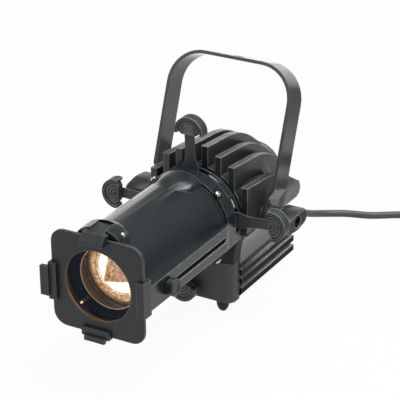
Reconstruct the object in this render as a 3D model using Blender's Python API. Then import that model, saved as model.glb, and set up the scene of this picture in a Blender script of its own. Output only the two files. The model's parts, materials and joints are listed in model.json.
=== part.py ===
"""Framing spot on a transformer base: lens tube, four shutters, finned reflector housing and yoke.

Every piece is placed from the optical axis: +Y runs from the colour frame to the back,
+Z is up and the colour frame's front face is the zero of the lengths along the axis.
"""

import math

import bmesh
import bpy
from mathutils import Matrix, Vector

MM = 0.001

# Gaps and round work
SEAT = 0.3 * MM
SLIDE = 0.5 * MM
ROUND_STEPS = 48
SMALL_STEPS = 20

# Colour frame and its holder
PLATE_SIDE = 86.0 * MM
PLATE_THICK = 2.2 * MM
PLATE_CORNER = 12.0 * MM
PLATE_HOLE_RADIUS = 31.0 * MM
HOLDER_DEPTH = 5.4 * MM
HOLDER_BORE_RADIUS = 33.0 * MM
CLIP_WALL = 1.8 * MM
CLIP_LIP = 5.2 * MM
CLIP_LIP_THICK = 2.8 * MM
CLIP_WIDTHS = {"bottom": 26.0 * MM, "left": 33.0 * MM, "right": 31.0 * MM}
CLIP_SHIFTS = {"bottom": -2.0 * MM, "left": 4.0 * MM, "right": -1.5 * MM}
CLIP_FLARES = {"bottom": 3.2 * MM, "left": 6.6 * MM}
CLIP_FLARE_INSET = 3.5 * MM
LATCH_WIDTH = 21.0 * MM
LATCH_NOSE = 7.6 * MM
LATCH_LIP = 4.0 * MM
LATCH_ARM_WIDTH = 13.0 * MM
LATCH_PIN_RADIUS = 1.1 * MM
LATCH_HUB_RADIUS = 2.9 * MM

# Lens tube, its rails and its two top humps
TUBE_RADIUS = 41.5 * MM
TUBE_WALL = 2.5 * MM
TUBE_LENGTH = 126.5 * MM
RAIL_RISE = 1.5 * MM
RAIL_TOP = 5.3 * MM
RAIL_DROP = 16.0 * MM
HUMP_RISE = 10.0 * MM
HUMP_HALF_WIDTH = 20.8 * MM
HUMP_LENGTH = 21.0 * MM
HUMP_LEAD = 4.8 * MM
HOOD_RISE = 5.6 * MM
HOOD_HALF_WIDTH = 18.5 * MM
HOOD_LENGTH = 26.5 * MM

# Lens carrier and focus knob
CARRIER_LENGTH = 34.0 * MM
CARRIER_START = 17.0 * MM
FOCUS_STUD_BACK = 21.0 * MM
LENS_SEAT_RADIUS = 34.0 * MM
LENS_CLEAR_RADIUS = 27.0 * MM
LENS_SHOULDER = 20.4 * MM
LENS_EDGE = 4.0 * MM
LENS_BULGE = 9.0 * MM
FOCUS_DROP = 5.7 * MM
FOCUS_SLOT_HEIGHT = 4.8 * MM
FOCUS_IN = 4.0 * MM
FOCUS_OUT = 92.0 * MM
FOCUS_KNOB_RADIUS = 7.5 * MM
FOCUS_KNOB_LENGTH = 7.2 * MM

# Collar, gate and shutters
COLLAR_RADIUS = 43.8 * MM
COLLAR_LENGTH = 13.5 * MM
GATE_RADIUS = 43.0 * MM
GATE_WALL = 4.5 * MM
GATE_APERTURE_RADIUS = 20.0 * MM
GATE_PLATE = 2.0 * MM
GATE_SPIGOT = 4.6 * MM
GATE_SPIGOT_RADIUS = 34.0 * MM
GATE_SLOT_WIDTH = 48.0 * MM
GATE_SIDE_SLOT_DROP = 7.6 * MM
GATE_SLOT_ROOM = 1.2 * MM
BLADE_THICK = 0.9 * MM
BLADE_PITCH = 1.4 * MM
BLADE_WIDTH = 44.0 * MM
BLADE_DEPTH = 6.0 * MM
TONGUE_WIDTH = 9.4 * MM
TONGUE_ROOT_WIDTH = 15.0 * MM
TONGUE_ROOT = 46.0 * MM
GRIP_REACH = 90.5 * MM
GRIP_HEAD_RADIUS = 13.7 * MM
GRIP_HEAD_DROP = 1.8 * MM
GRIP_WEB_THICK = 7.2 * MM
GRIP_RIM_THICK = 9.4 * MM
GRIP_RIM_WIDTH = 2.6 * MM
GRIP_RIDGE_RISE = 0.6 * MM
GRIP_POCKET = 9.0 * MM
SHUTTER_ANGLES = {"top": -1.4, "right": 84.6, "bottom": 188.5, "left": 272.6}
BOTTOM_SHUTTER_IN = 4.4 * MM

# Reflector housing
HOUSING_GAP = 3.5 * MM
HOUSING_LENGTH = 101.0 * MM
CORE_RADIUS = 43.0 * MM
CORE_REAR_RADIUS = 26.0 * MM
CORE_WALL = 4.0 * MM
LAMP_PORT_RADIUS = 19.0 * MM
FIN_PITCH = 12.75 * MM
FIN_THICK = 6.0 * MM
FIN_TOPS = (61.1 * MM, 53.9 * MM, 46.8 * MM, 30.3 * MM)
FIN_RUN = 36.0 * MM
FIN_RUN_SLOPE = 5.6
FIN_BEND_RADIUS = 85.0 * MM
FIN_END_SLOPE = 37.0
SIDE_WALL_END_SLOPE = 29.0
SIDE_WALL_DROP = 14.0 * MM
NECK_TOP_DROP = 12.5 * MM
NECK_LENGTH = 86.0 * MM
NECK_FOOT_HALF_WIDTH = 33.0 * MM
NECK_FLANGE = 13.5 * MM
NECK_INSET = 1.5 * MM
PIVOT_BACK = 27.4 * MM
PIVOT_DROP = 4.2 * MM
PIVOT_BOSS_RADIUS = 9.0 * MM
PIVOT_BOSS_RISE = 2.4 * MM
STUD_RADIUS = 3.0 * MM

# Base
BASE_HALF_WIDTH = 32.0 * MM
BASE_BOTTOM = 84.0 * MM
BASE_TOP = 55.6 * MM
BASE_LENGTH = 112.0 * MM
BASE_LEAD = 0.3 * MM
SHELL_OVERHANG = 2.5 * MM
FRONT_CAP_DEPTH = 14.0 * MM
FRONT_CAP_TOP = 45.5 * MM
REAR_CAP_DEPTH = 3.0 * MM
RIB_PITCH = 9.4 * MM
RIB_FACE = 5.5 * MM
RIB_TOP_FACE = 4.6 * MM
RIB_DEPTH = 4.4 * MM
RIB_GROOVES = 2
LAMP_CAP_DEPTH = 9.0 * MM
BASE_WALL = 3.0 * MM
FOOT_RADIUS = 6.0 * MM
FOOT_HEIGHT = 11.0 * MM
FOOT_INSET = 7.0 * MM
FOOT_REAR_INSET = 20.0 * MM
FOOT_SIDE_INSET = 12.5 * MM
FOOT_REAR_SIDE_INSET = 18.0 * MM

# Yoke and its lock knobs
YOKE_HALF_WIDTH = 60.4 * MM
YOKE_HEIGHT = 129.1 * MM
YOKE_THICK = 3.0 * MM
YOKE_STRAP = 22.5 * MM
YOKE_CORNER = 32.0 * MM
YOKE_LEAN = 20.5
YOKE_HOLE_RADIUS = 5.25 * MM
WASHER_THICK = 1.4 * MM
LOCK_HUB_RADIUS = 9.0 * MM
LOCK_REACH = 26.0 * MM
LOCK_WING = 38.0 * MM
LOCK_WING_THICK = 17.0 * MM
LOCK_END_RADIUS = 7.0 * MM
LOCK_RECESS_RADIUS = 5.6 * MM
LOCK_TURN = 2.0

# Power cord
CORD_RADIUS = 3.5 * MM
CORD_EXIT_DROP = 64.5 * MM
CORD_EXIT_SIDE = 2.0 * MM
GLAND_LENGTH = 32.0 * MM
COIL_TURNS = 2.375
COIL_PITCH = 7.8 * MM
COIL_OUTER_RADIUS = 48.0 * MM
COIL_CENTRE = (156.0 * MM, 376.0 * MM)
TIE_THICK = 1.2 * MM
TIE_WIDTH = 8.0 * MM
TIE_TURN = 45.0
PLUG_RADIUS = 18.0 * MM
PLUG_LENGTH = 46.0 * MM
PIN_RADIUS = 2.4 * MM
PIN_LENGTH = 19.0 * MM
PIN_SPREAD = 19.0 * MM

# Places along the optical axis that follow from the sizes above
HOLDER_START = PLATE_THICK + SEAT
TUBE_START = HOLDER_START + HOLDER_DEPTH + SEAT
TUBE_END = TUBE_START + TUBE_LENGTH
TUBE_BORE = TUBE_RADIUS - TUBE_WALL
RAIL_REACH = TUBE_RADIUS + RAIL_RISE
COLLAR_START = TUBE_END + SEAT
COLLAR_END = COLLAR_START + COLLAR_LENGTH
GATE_START = COLLAR_END + SEAT
BLADE_START = GATE_START + SLIDE
BLADE_SPAN = 3.0 * BLADE_PITCH + BLADE_THICK
SHUTTER_PLANE = BLADE_START + BLADE_SPAN / 2.0
GATE_FLOOR = BLADE_START + BLADE_SPAN + SLIDE
GATE_END = GATE_FLOOR + GATE_PLATE
HOUSING_START = GATE_END + HOUSING_GAP
HOUSING_END = HOUSING_START + HOUSING_LENGTH
FIN_CENTRES = [(index + 0.5) * FIN_PITCH for index in range(len(FIN_TOPS))]
HOUSING_SIDE = FIN_CENTRES[-1] + FIN_THICK / 2.0
PIVOT_PLACE = HOUSING_START + PIVOT_BACK
BOSS_FACE = HOUSING_SIDE + PIVOT_BOSS_RISE
WASHER_FACE = BOSS_FACE + SEAT + WASHER_THICK
YOKE_PIVOT_INNER = WASHER_FACE + SEAT
YOKE_PIVOT_OUTER = YOKE_PIVOT_INNER + YOKE_THICK
PIVOT_LINE = (PIVOT_PLACE, -PIVOT_DROP)
BASE_START = HOUSING_START - BASE_LEAD
BASE_END = BASE_START + BASE_LENGTH
SHELL_START = BASE_START + FRONT_CAP_DEPTH + SEAT
SHELL_END = BASE_END
SHELL_HALF_WIDTH = BASE_HALF_WIDTH + SHELL_OVERHANG
AXIS_HEIGHT = BASE_BOTTOM + FOOT_HEIGHT
FRAME_PLACE = -(BASE_END - LATCH_NOSE) / 2.0
FLOOR_LINE = -AXIS_HEIGHT + CORD_RADIUS
COIL_LINE = FLOOR_LINE + TIE_THICK + 2.0 * SEAT
COIL_EXIT = math.radians(90.0 - 360.0 * (2.0 * COIL_TURNS + 0.5))
LATCH_PIN_RISE = TUBE_RADIUS + 0.51 * HUMP_RISE
LATCH_PIN_BACK = TUBE_START + 0.3 * HUMP_LENGTH
CHANNEL_FLOOR = LATCH_PIN_RISE - LATCH_HUB_RADIUS - SEAT


def material(name, colour, roughness, metallic, transmission=0.0):
    """One Principled material per sub-part."""
    made = bpy.data.materials.new(name)
    made.use_nodes = True
    shader = made.node_tree.nodes["Principled BSDF"]
    shader.inputs["Base Color"].default_value = (*colour, 1.0)
    shader.inputs["Roughness"].default_value = roughness
    shader.inputs["Metallic"].default_value = metallic
    shader.inputs["Transmission Weight"].default_value = transmission
    made.diffuse_color = (*colour, 1.0)
    return made


FINISHES = {
    "satin_black": ((0.030, 0.032, 0.034), 0.52, 0.0, 0.0),
    "cast_black": ((0.026, 0.028, 0.030), 0.60, 0.0, 0.0),
    "moulded_black": ((0.020, 0.021, 0.022), 0.45, 0.0, 0.0),
    "rubber_black": ((0.014, 0.014, 0.015), 0.75, 0.0, 0.0),
    "zinc_steel": ((0.55, 0.56, 0.58), 0.32, 1.0, 0.0),
    "bright_mirror": ((0.86, 0.82, 0.76), 0.08, 1.0, 0.0),
    "clear_glass": ((0.92, 0.95, 0.96), 0.03, 0.0, 0.9),
    "iron_core": ((0.22, 0.21, 0.20), 0.55, 0.8, 0.0),
    "ceramic": ((0.78, 0.76, 0.70), 0.60, 0.0, 0.0),
}


def axis_empty(name, parent, place, turn=None):
    """An empty on a joint's axis that carries the pieces which move together."""
    empty = bpy.data.objects.new(name, None)
    bpy.context.scene.collection.objects.link(empty)
    empty.parent = parent
    empty.location = place
    if turn is not None:
        empty.rotation_euler = turn
    return empty


def solid(shape, name, parent, finish):
    """Turns a bmesh into a named object with its own material."""
    bmesh.ops.recalc_face_normals(shape, faces=shape.faces)
    mesh = bpy.data.meshes.new(name)
    shape.to_mesh(mesh)
    shape.free()
    made = bpy.data.objects.new(name, mesh)
    bpy.context.scene.collection.objects.link(made)
    made.parent = parent
    mesh.materials.append(material(name, *FINISHES[finish]))
    return made


def combine(body, shape, operation):
    """Adds a shape to a body or takes it away, both given in the body's own frame."""
    bmesh.ops.recalc_face_normals(shape, faces=shape.faces)
    mesh = bpy.data.meshes.new("tool")
    shape.to_mesh(mesh)
    shape.free()
    tool = bpy.data.objects.new("tool", mesh)
    bpy.context.scene.collection.objects.link(tool)
    tool.parent = body.parent
    step = body.modifiers.new("shape", "BOOLEAN")
    step.operation = operation
    step.solver = "EXACT"
    step.object = tool
    graph = bpy.context.evaluated_depsgraph_get()
    result = bpy.data.meshes.new_from_object(body.evaluated_get(graph))
    body.modifiers.clear()
    spent = body.data
    body.data = result
    bpy.data.meshes.remove(spent)
    bpy.data.objects.remove(tool)
    bpy.data.meshes.remove(mesh)


def fuse(body, shape):
    combine(body, shape, "UNION")


def cut(body, shape):
    combine(body, shape, "DIFFERENCE")


def place_point(axis, along, first, second):
    """A point from its length along an axis and its two coordinates across it."""
    if axis == "X":
        return Vector((along, first, second))
    if axis == "Y":
        return Vector((first, along, second))
    return Vector((first, second, along))


def loft(sections):
    """A closed skin through outlines that all have the same number of points."""
    shape = bmesh.new()
    rows = [[shape.verts.new(point) for point in section] for section in sections]
    count = len(rows[0])
    for near, far in zip(rows, rows[1:]):
        for index in range(count):
            follow = (index + 1) % count
            shape.faces.new((near[index], near[follow], far[follow], far[index]))
    shape.faces.new(rows[0])
    shape.faces.new(rows[-1])
    return shape


def prism(outline, axis, low, high):
    """An outline swept straight along one axis."""
    return loft([[place_point(axis, along, *pair) for pair in outline] for along in (low, high)])


def block(low, high):
    """A box between two corners."""
    outline = [(low[0], low[2]), (high[0], low[2]), (high[0], high[2]), (low[0], high[2])]
    return prism(outline, "Y", low[1], high[1])


def turned(profile, axis, steps=ROUND_STEPS, centre=(0.0, 0.0), ring=False, phase=0.0):
    """A profile of (along, radius) pairs turned round an axis; a ring's profile closes on itself."""
    shape = bmesh.new()
    rows = []
    for along, radius in profile:
        if radius == 0.0:
            rows.append([shape.verts.new(place_point(axis, along, *centre))])
            continue
        row = []
        for index in range(steps):
            angle = 2.0 * math.pi * (index + phase) / steps
            across = centre[0] + radius * math.cos(angle)
            rise = centre[1] + radius * math.sin(angle)
            row.append(shape.verts.new(place_point(axis, along, across, rise)))
        rows.append(row)
    pairs = list(zip(rows, rows[1:]))
    if ring:
        pairs.append((rows[-1], rows[0]))
    for near, far in pairs:
        for index in range(steps):
            follow = (index + 1) % steps
            corners = [near[index % len(near)], near[follow % len(near)],
                       far[follow % len(far)], far[index % len(far)]]
            shape.faces.new(list(dict.fromkeys(corners)))
    if not ring:
        for row in (rows[0], rows[-1]):
            if len(row) > 1:
                shape.faces.new(row)
    return shape


def rod(axis, low, high, radius, centre=(0.0, 0.0), steps=SMALL_STEPS):
    """A plain cylinder."""
    return turned([(low, radius), (high, radius)], axis, steps, centre, phase=0.5)


def tube_ring(axis, low, high, inner, outer, steps=ROUND_STEPS, centre=(0.0, 0.0)):
    """A plain ring with a bore."""
    return turned([(low, inner), (low, outer), (high, outer), (high, inner)], axis, steps, centre, True)


def turn_shape(shape, degrees, axis="Y"):
    """Turns a shape about an axis through the origin."""
    bmesh.ops.transform(shape, matrix=Matrix.Rotation(math.radians(degrees), 4, axis), verts=shape.verts)
    return shape


def arc(centre, radius, start, end, steps):
    """Points of an arc, from one angle in degrees to another."""
    points = []
    for index in range(steps + 1):
        angle = math.radians(start + (end - start) * index / steps)
        points.append((centre[0] + radius * math.cos(angle), centre[1] + radius * math.sin(angle)))
    return points


def rounded_box(left, right, low, high, radius, steps=5):
    """A rectangle with four round corners."""
    points = arc((right - radius, high - radius), radius, 0.0, 90.0, steps)
    points += arc((left + radius, high - radius), radius, 90.0, 180.0, steps)
    points += arc((left + radius, low + radius), radius, 180.0, 270.0, steps)
    points += arc((right - radius, low + radius), radius, 270.0, 360.0, steps)
    return points


def colour_frame(barrel):
    half = PLATE_SIDE / 2.0
    body = solid(prism(rounded_box(-half, half, -half, half, PLATE_CORNER, 6), "Y", 0.0, PLATE_THICK),
                 "colour_frame", barrel, "satin_black")
    cut(body, rod("Y", -PLATE_THICK, 2.0 * PLATE_THICK, PLATE_HOLE_RADIUS, steps=ROUND_STEPS))


def frame_holder(barrel):
    """A ring behind the colour frame with three channel clips that hold its edges."""
    half = PLATE_SIDE / 2.0
    back = HOLDER_START + HOLDER_DEPTH
    body = solid(tube_ring("Y", HOLDER_START, back, HOLDER_BORE_RADIUS, half - SEAT),
                 "frame_holder", barrel, "satin_black")
    inner = half + SEAT
    outer = inner + CLIP_WALL
    lip_back = -SEAT
    lip_front = lip_back - CLIP_LIP_THICK
    root = half - CLIP_LIP * 0.6
    channel = [(back, -root), (back, -outer), (lip_front, -outer),
               (lip_front, -(half - CLIP_LIP)), (lip_back, -(half - CLIP_LIP)), (lip_back, -inner),
               (HOLDER_START, -inner), (HOLDER_START, -root)]
    turns = {"bottom": 0.0, "left": 90.0, "right": -90.0}
    for name, turn in turns.items():
        near = CLIP_SHIFTS[name] - CLIP_WIDTHS[name] / 2.0
        far = CLIP_SHIFTS[name] + CLIP_WIDTHS[name] / 2.0
        fuse(body, turn_shape(prism(channel, "X", near, far), turn))
        if name in CLIP_FLARES:
            reach = outer + CLIP_FLARES[name]
            flare = [(lip_front + CLIP_LIP_THICK * 0.9, -(outer - CLIP_WALL / 2.0)),
                     (lip_front + CLIP_LIP_THICK * 0.4, -reach), (lip_front - CLIP_LIP_THICK * 0.8, -reach),
                     (lip_front - CLIP_LIP_THICK * 0.8, -(inner + CLIP_WALL * 0.3)),
                     (lip_front + CLIP_LIP_THICK * 0.5, -(inner + CLIP_WALL * 0.1))]
            fuse(body, turn_shape(prism(flare, "X", near + CLIP_FLARE_INSET, far - CLIP_FLARE_INSET), turn))


def frame_latch(hinge):
    """A sprung nose over the colour frame's top edge, on a pin in the tube's front hump."""
    def at(back, rise):
        return (back - LATCH_PIN_BACK, rise - LATCH_PIN_RISE)

    half = PLATE_SIDE / 2.0
    under = half + 2.0 * SEAT
    crest = LATCH_PIN_RISE + LATCH_HUB_RADIUS * 0.4
    head_back = TUBE_START - HUMP_LEAD - 2.0 * SLIDE
    head = [at(-LATCH_NOSE, half - LATCH_LIP), at(-LATCH_NOSE, half - LATCH_LIP * 0.1),
            at(-LATCH_NOSE * 0.35, crest), at(head_back, crest), at(head_back, under),
            at(-SEAT, under), at(-SEAT, half - LATCH_LIP)]
    body = solid(prism(head, "X", -LATCH_WIDTH / 2.0, LATCH_WIDTH / 2.0),
                 "frame_latch", hinge, "satin_black")
    arm_half = LATCH_ARM_WIDTH / 2.0
    arm = [at(0.0, max(under + SEAT, LATCH_PIN_RISE - LATCH_HUB_RADIUS))]
    arm += arc((0.0, 0.0), LATCH_HUB_RADIUS, -90.0, 90.0, 8)
    arm += [at(0.0, crest - SEAT)]
    fuse(body, prism(arm, "X", -arm_half, arm_half))
    cut(body, rod("X", -LATCH_WIDTH, LATCH_WIDTH, LATCH_PIN_RADIUS + SEAT))


def latch_pin(barrel):
    reach = HUMP_HALF_WIDTH * 0.62
    solid(rod("X", -reach, reach, LATCH_PIN_RADIUS, (LATCH_PIN_BACK, LATCH_PIN_RISE)),
          "latch_pin", barrel, "zinc_steel")


def barrel_outline(radius):
    """The tube's section: round above and below, with a flat rail on each side."""
    rise = math.degrees(math.asin((RAIL_TOP + RAIL_RISE) / radius))
    fall = math.degrees(math.asin(RAIL_DROP / radius))
    points = [(RAIL_REACH, -RAIL_DROP), (RAIL_REACH, RAIL_TOP)]
    points += arc((0.0, 0.0), radius, rise, 180.0 - rise, 26)
    points += [(-RAIL_REACH, RAIL_TOP), (-RAIL_REACH, -RAIL_DROP)]
    points += arc((0.0, 0.0), radius, 180.0 + fall, 360.0 - fall, 22)
    return points


def arch(back, half_width, top, foot, power=0.62, steps=14):
    """One cross-section of a rounded hump on top of the tube."""
    points = []
    for index in range(steps + 1):
        angle = math.pi * index / steps
        points.append(Vector((-half_width * math.cos(angle), back,
                              foot + (top - foot) * math.sin(angle) ** power)))
    return points


def lens_tube(barrel):
    body = solid(prism(barrel_outline(TUBE_RADIUS), "Y", TUBE_START, TUBE_END),
                 "lens_tube", barrel, "satin_black")
    foot = TUBE_RADIUS * 0.82
    hump = [(-HUMP_LEAD / HUMP_LENGTH, 1.0, 0.90), (0.40, 1.0, 1.0), (0.72, 0.86, 0.72), (1.0, 0.55, 0.05)]
    fuse(body, loft([arch(TUBE_START + HUMP_LENGTH * back, HUMP_HALF_WIDTH * width,
                          TUBE_RADIUS + HUMP_RISE * rise, foot) for back, width, rise in hump]))
    cut(body, rod("Y", -HUMP_LEAD, TUBE_START, PLATE_SIDE / 2.0 + SEAT, steps=ROUND_STEPS))
    hood = [(1.0, 0.45, 0.04), (0.66, 0.90, 0.62), (0.35, 1.0, 0.92), (0.02, 1.0, 1.0)]
    fuse(body, loft([arch(TUBE_END - HOOD_LENGTH * ahead, HOOD_HALF_WIDTH * width,
                          TUBE_RADIUS + HOOD_RISE * rise, foot) for ahead, width, rise in hood]))
    cut(body, rod("Y", TUBE_START - TUBE_WALL, TUBE_END + TUBE_WALL, TUBE_BORE, steps=ROUND_STEPS))
    channel = LATCH_ARM_WIDTH / 2.0 + SLIDE
    cut(body, block((-channel, TUBE_START - 2.0 * HUMP_LEAD, CHANNEL_FLOOR),
                    (channel, LATCH_PIN_BACK + LATCH_HUB_RADIUS + SLIDE, LATCH_PIN_RISE + HUMP_RISE)))
    bore = HUMP_HALF_WIDTH * 0.62 + SEAT
    cut(body, rod("X", -bore, bore, LATCH_PIN_RADIUS + SEAT, (LATCH_PIN_BACK, LATCH_PIN_RISE)))
    stud = CARRIER_START + FOCUS_STUD_BACK
    half = FOCUS_SLOT_HEIGHT / 2.0
    slot = rounded_box(stud - FOCUS_IN - half, stud + FOCUS_OUT + half,
                       -FOCUS_DROP - half, -FOCUS_DROP + half, half * 0.98, 4)
    cut(body, prism(slot, "X", TUBE_BORE * 0.8, RAIL_REACH + TUBE_WALL))


def lens_carrier(slide):
    outer = TUBE_BORE - SLIDE
    profile = [(0.0, LENS_SEAT_RADIUS), (0.0, outer), (CARRIER_LENGTH, outer),
               (CARRIER_LENGTH, LENS_CLEAR_RADIUS), (LENS_SHOULDER, LENS_CLEAR_RADIUS),
               (LENS_SHOULDER, LENS_SEAT_RADIUS)]
    solid(turned(profile, "Y", ring=True), "lens_carrier", slide, "moulded_black")
    back = LENS_SHOULDER - SEAT
    edge = back - LENS_EDGE
    rim = LENS_SEAT_RADIUS - SEAT
    glass = [(edge - LENS_BULGE, 0.0)]
    for share in (0.25, 0.5, 0.75):
        glass.append((edge - LENS_BULGE * (1.0 - share ** 2), rim * share))
    glass += [(edge, rim), (back, rim)]
    solid(turned(glass, "Y"), "lens", slide, "clear_glass")
    keep = edge - LENS_BULGE * 0.25
    keeper = [(SEAT, LENS_CLEAR_RADIUS), (SEAT, rim), (keep, rim), (keep, rim - SEAT * 4.0),
              (SEAT * 8.0, LENS_CLEAR_RADIUS + SEAT * 6.0)]
    solid(turned(keeper, "Y", ring=True), "lens_ring", slide, "moulded_black")


def focus_knob(hinge):
    """A knurled knob outside the rail on a stud that runs through the focus slot."""
    inner = TUBE_BORE - SLIDE + SEAT - RAIL_REACH
    face = SLIDE
    outer = face + FOCUS_KNOB_LENGTH
    stud = FOCUS_SLOT_HEIGHT / 2.0 - SEAT
    radius = FOCUS_KNOB_RADIUS
    profile = [(inner, stud), (face, stud), (face, radius * 0.93), (face + radius * 0.1, radius),
               (outer - radius * 0.13, radius), (outer, radius * 0.86), (outer, radius * 0.62),
               (outer - radius * 0.1, radius * 0.5)]
    solid(turned(profile, "X", 28), "focus_knob", hinge, "moulded_black")


def gate_collar(barrel):
    """The collar behind the tube that carries the gate."""
    body = solid(prism(barrel_outline(COLLAR_RADIUS), "Y", COLLAR_START, COLLAR_END),
                 "gate_collar", barrel, "satin_black")
    cut(body, rod("Y", COLLAR_START - TUBE_WALL, COLLAR_END + TUBE_WALL, TUBE_BORE, steps=ROUND_STEPS))


def gate(barrel):
    """Front plate and gate body: the blades run between them and out through four wide side slots."""
    inner = GATE_RADIUS - GATE_WALL
    front_end = COLLAR_END - SEAT
    solid(tube_ring("Y", front_end - GATE_PLATE, front_end, GATE_APERTURE_RADIUS + SLIDE, TUBE_BORE - SEAT),
          "gate_front_plate", barrel, "zinc_steel")
    body = solid(prism(barrel_outline(GATE_RADIUS), "Y", GATE_START, GATE_END),
                 "gate_body", barrel, "cast_black")
    spigot_inner = GATE_SPIGOT_RADIUS - CORE_WALL
    spigot_end = GATE_END + HOUSING_GAP / 2.0 + GATE_SPIGOT
    fuse(body, rod("Y", GATE_FLOOR + GATE_PLATE * 0.4, spigot_end, GATE_SPIGOT_RADIUS, steps=ROUND_STEPS))
    cut(body, rod("Y", GATE_START - GATE_PLATE, GATE_FLOOR, inner, steps=ROUND_STEPS))
    cut(body, rod("Y", GATE_END, spigot_end + GATE_PLATE, spigot_inner, steps=ROUND_STEPS))
    cut(body, rod("Y", GATE_FLOOR - GATE_PLATE, GATE_END + GATE_PLATE, GATE_APERTURE_RADIUS, steps=ROUND_STEPS))
    half = GATE_SLOT_WIDTH / 2.0
    near = inner * 0.7
    reach = GATE_RADIUS * 1.1
    front = GATE_START - GATE_PLATE
    for side in (-1.0, 1.0):
        levels = sorted((side * near, side * reach))
        cut(body, block((-half, front, levels[0]), (half, GATE_FLOOR, levels[1])))
        cut(body, block((levels[0], front, -GATE_SIDE_SLOT_DROP), (levels[1], GATE_FLOOR, half)))
    room = TONGUE_ROOT_WIDTH / 2.0 + GATE_SLOT_ROOM
    for degrees in SHUTTER_ANGLES.values():
        slot = block((-room, front, near), (room, GATE_FLOOR - SLIDE * 0.2, reach))
        cut(body, turn_shape(slot, degrees))


def shutter(name, order, slide):
    """A steel blade with its flared tongue and a half-moon grip, drawn pointing up."""
    near = (order - 1.5) * BLADE_PITCH - BLADE_THICK / 2.0
    far = near + BLADE_THICK
    edge = GATE_APERTURE_RADIUS + SLIDE
    half = BLADE_WIDTH / 2.0
    root = TONGUE_ROOT_WIDTH / 2.0
    tongue = TONGUE_WIDTH / 2.0
    centre = (0.0, GRIP_REACH - GRIP_HEAD_RADIUS)
    under = centre[1] - GRIP_HEAD_DROP * 1.4
    tongue_end = under + GRIP_POCKET
    right = [(half, edge), (half, edge + BLADE_DEPTH), (half * 0.64, edge + BLADE_DEPTH * 1.6),
             (root, edge + BLADE_DEPTH * 2.0), (root, TONGUE_ROOT), (tongue * 1.12, TONGUE_ROOT + root),
             (tongue, TONGUE_ROOT + root * 2.0), (tongue, tongue_end)]
    left = [(-across, rise) for across, rise in reversed(right)]
    solid(prism(right + left, "Y", near, far), "shutter_blade_" + name, slide, "satin_black")

    tip = math.degrees(math.asin(GRIP_HEAD_DROP / GRIP_HEAD_RADIUS))
    web = GRIP_HEAD_RADIUS - GRIP_RIM_WIDTH / 2.0
    notch = GRIP_HEAD_RADIUS - GRIP_RIM_WIDTH * 1.5
    outline = [(tongue * 1.5, under), (notch, centre[1] - GRIP_HEAD_DROP * 0.3)]
    outline += arc(centre, web, 0.0, 180.0, 16)
    outline += [(-notch, centre[1] - GRIP_HEAD_DROP * 0.3), (-tongue * 1.5, under)]
    body = solid(prism(outline, "Y", -GRIP_WEB_THICK / 2.0, GRIP_WEB_THICK / 2.0),
                 "shutter_grip_" + name, slide, "moulded_black")
    rim = arc(centre, GRIP_HEAD_RADIUS, -tip, 180.0 + tip, 18)
    rim += arc(centre, GRIP_HEAD_RADIUS - GRIP_RIM_WIDTH, 180.0 + tip, -tip, 18)
    fuse(body, prism(rim, "Y", -GRIP_RIM_THICK / 2.0, GRIP_RIM_THICK / 2.0))
    lift = GRIP_WEB_THICK / 2.0 + GRIP_RIDGE_RISE
    for share in (0.68, 0.47, 0.26):
        outer = GRIP_HEAD_RADIUS * share
        ridge = arc(centre, outer, -6.0, 186.0, 9)
        ridge += arc(centre, outer - GRIP_RIM_WIDTH * 0.55, 186.0, -6.0, 9)
        fuse(body, prism(ridge, "Y", -lift, lift))
    cut(body, block((-tongue - SEAT, near - SEAT, under - root),
                    (tongue + SEAT, far + SEAT, tongue_end + SEAT)))


def fin_top(height, end, end_slope):
    """The crest of one fin: a straight run, a bend and a straight fall towards the back."""
    first = math.radians(FIN_RUN_SLOPE)
    last = math.radians(end_slope)
    points = [(HOUSING_START, height)]
    place = HOUSING_START + FIN_RUN
    fall = height - FIN_RUN * math.tan(first)
    steps = 6
    for index in range(steps + 1):
        angle = first + (last - first) * index / steps
        points.append((place + FIN_BEND_RADIUS * (math.sin(angle) - math.sin(first)),
                       fall - FIN_BEND_RADIUS * (math.cos(first) - math.cos(angle))))
    kept = [point for point in points if point[0] < end - FIN_THICK]
    if len(kept) == len(points):
        kept.append((end, kept[-1][1] - (end - kept[-1][0]) * math.tan(last)))
    return kept


def core_radius(share):
    """The housing's round core: straight in front, then drawn in towards the lamp port."""
    if share < 0.36:
        return CORE_RADIUS
    bend = (share - 0.36) / 0.64
    return CORE_RADIUS + (CORE_REAR_RADIUS - CORE_RADIUS) * (0.45 * bend + 0.55 * bend ** 2)


def neck_outline(inset):
    """The neck's section: a foot on the base that flares out to the housing's sides."""
    foot = NECK_FOOT_HALF_WIDTH - inset
    side = HOUSING_SIDE - SEAT - inset
    bottom = BASE_TOP - SEAT
    bend_start = bottom - (bottom - NECK_TOP_DROP) * 0.18
    right = [(foot, -bottom)]
    steps = 8
    for index in range(steps):
        angle = math.radians(90.0 * index / steps)
        right.append((foot + (side - foot) * (1.0 - math.cos(angle)),
                      -bend_start + (bend_start - NECK_TOP_DROP) * math.sin(angle)))
    right += [(side, -NECK_TOP_DROP), (side, -NECK_TOP_DROP * 0.4)]
    return right + [(-across, rise) for across, rise in reversed(right)]


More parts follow.
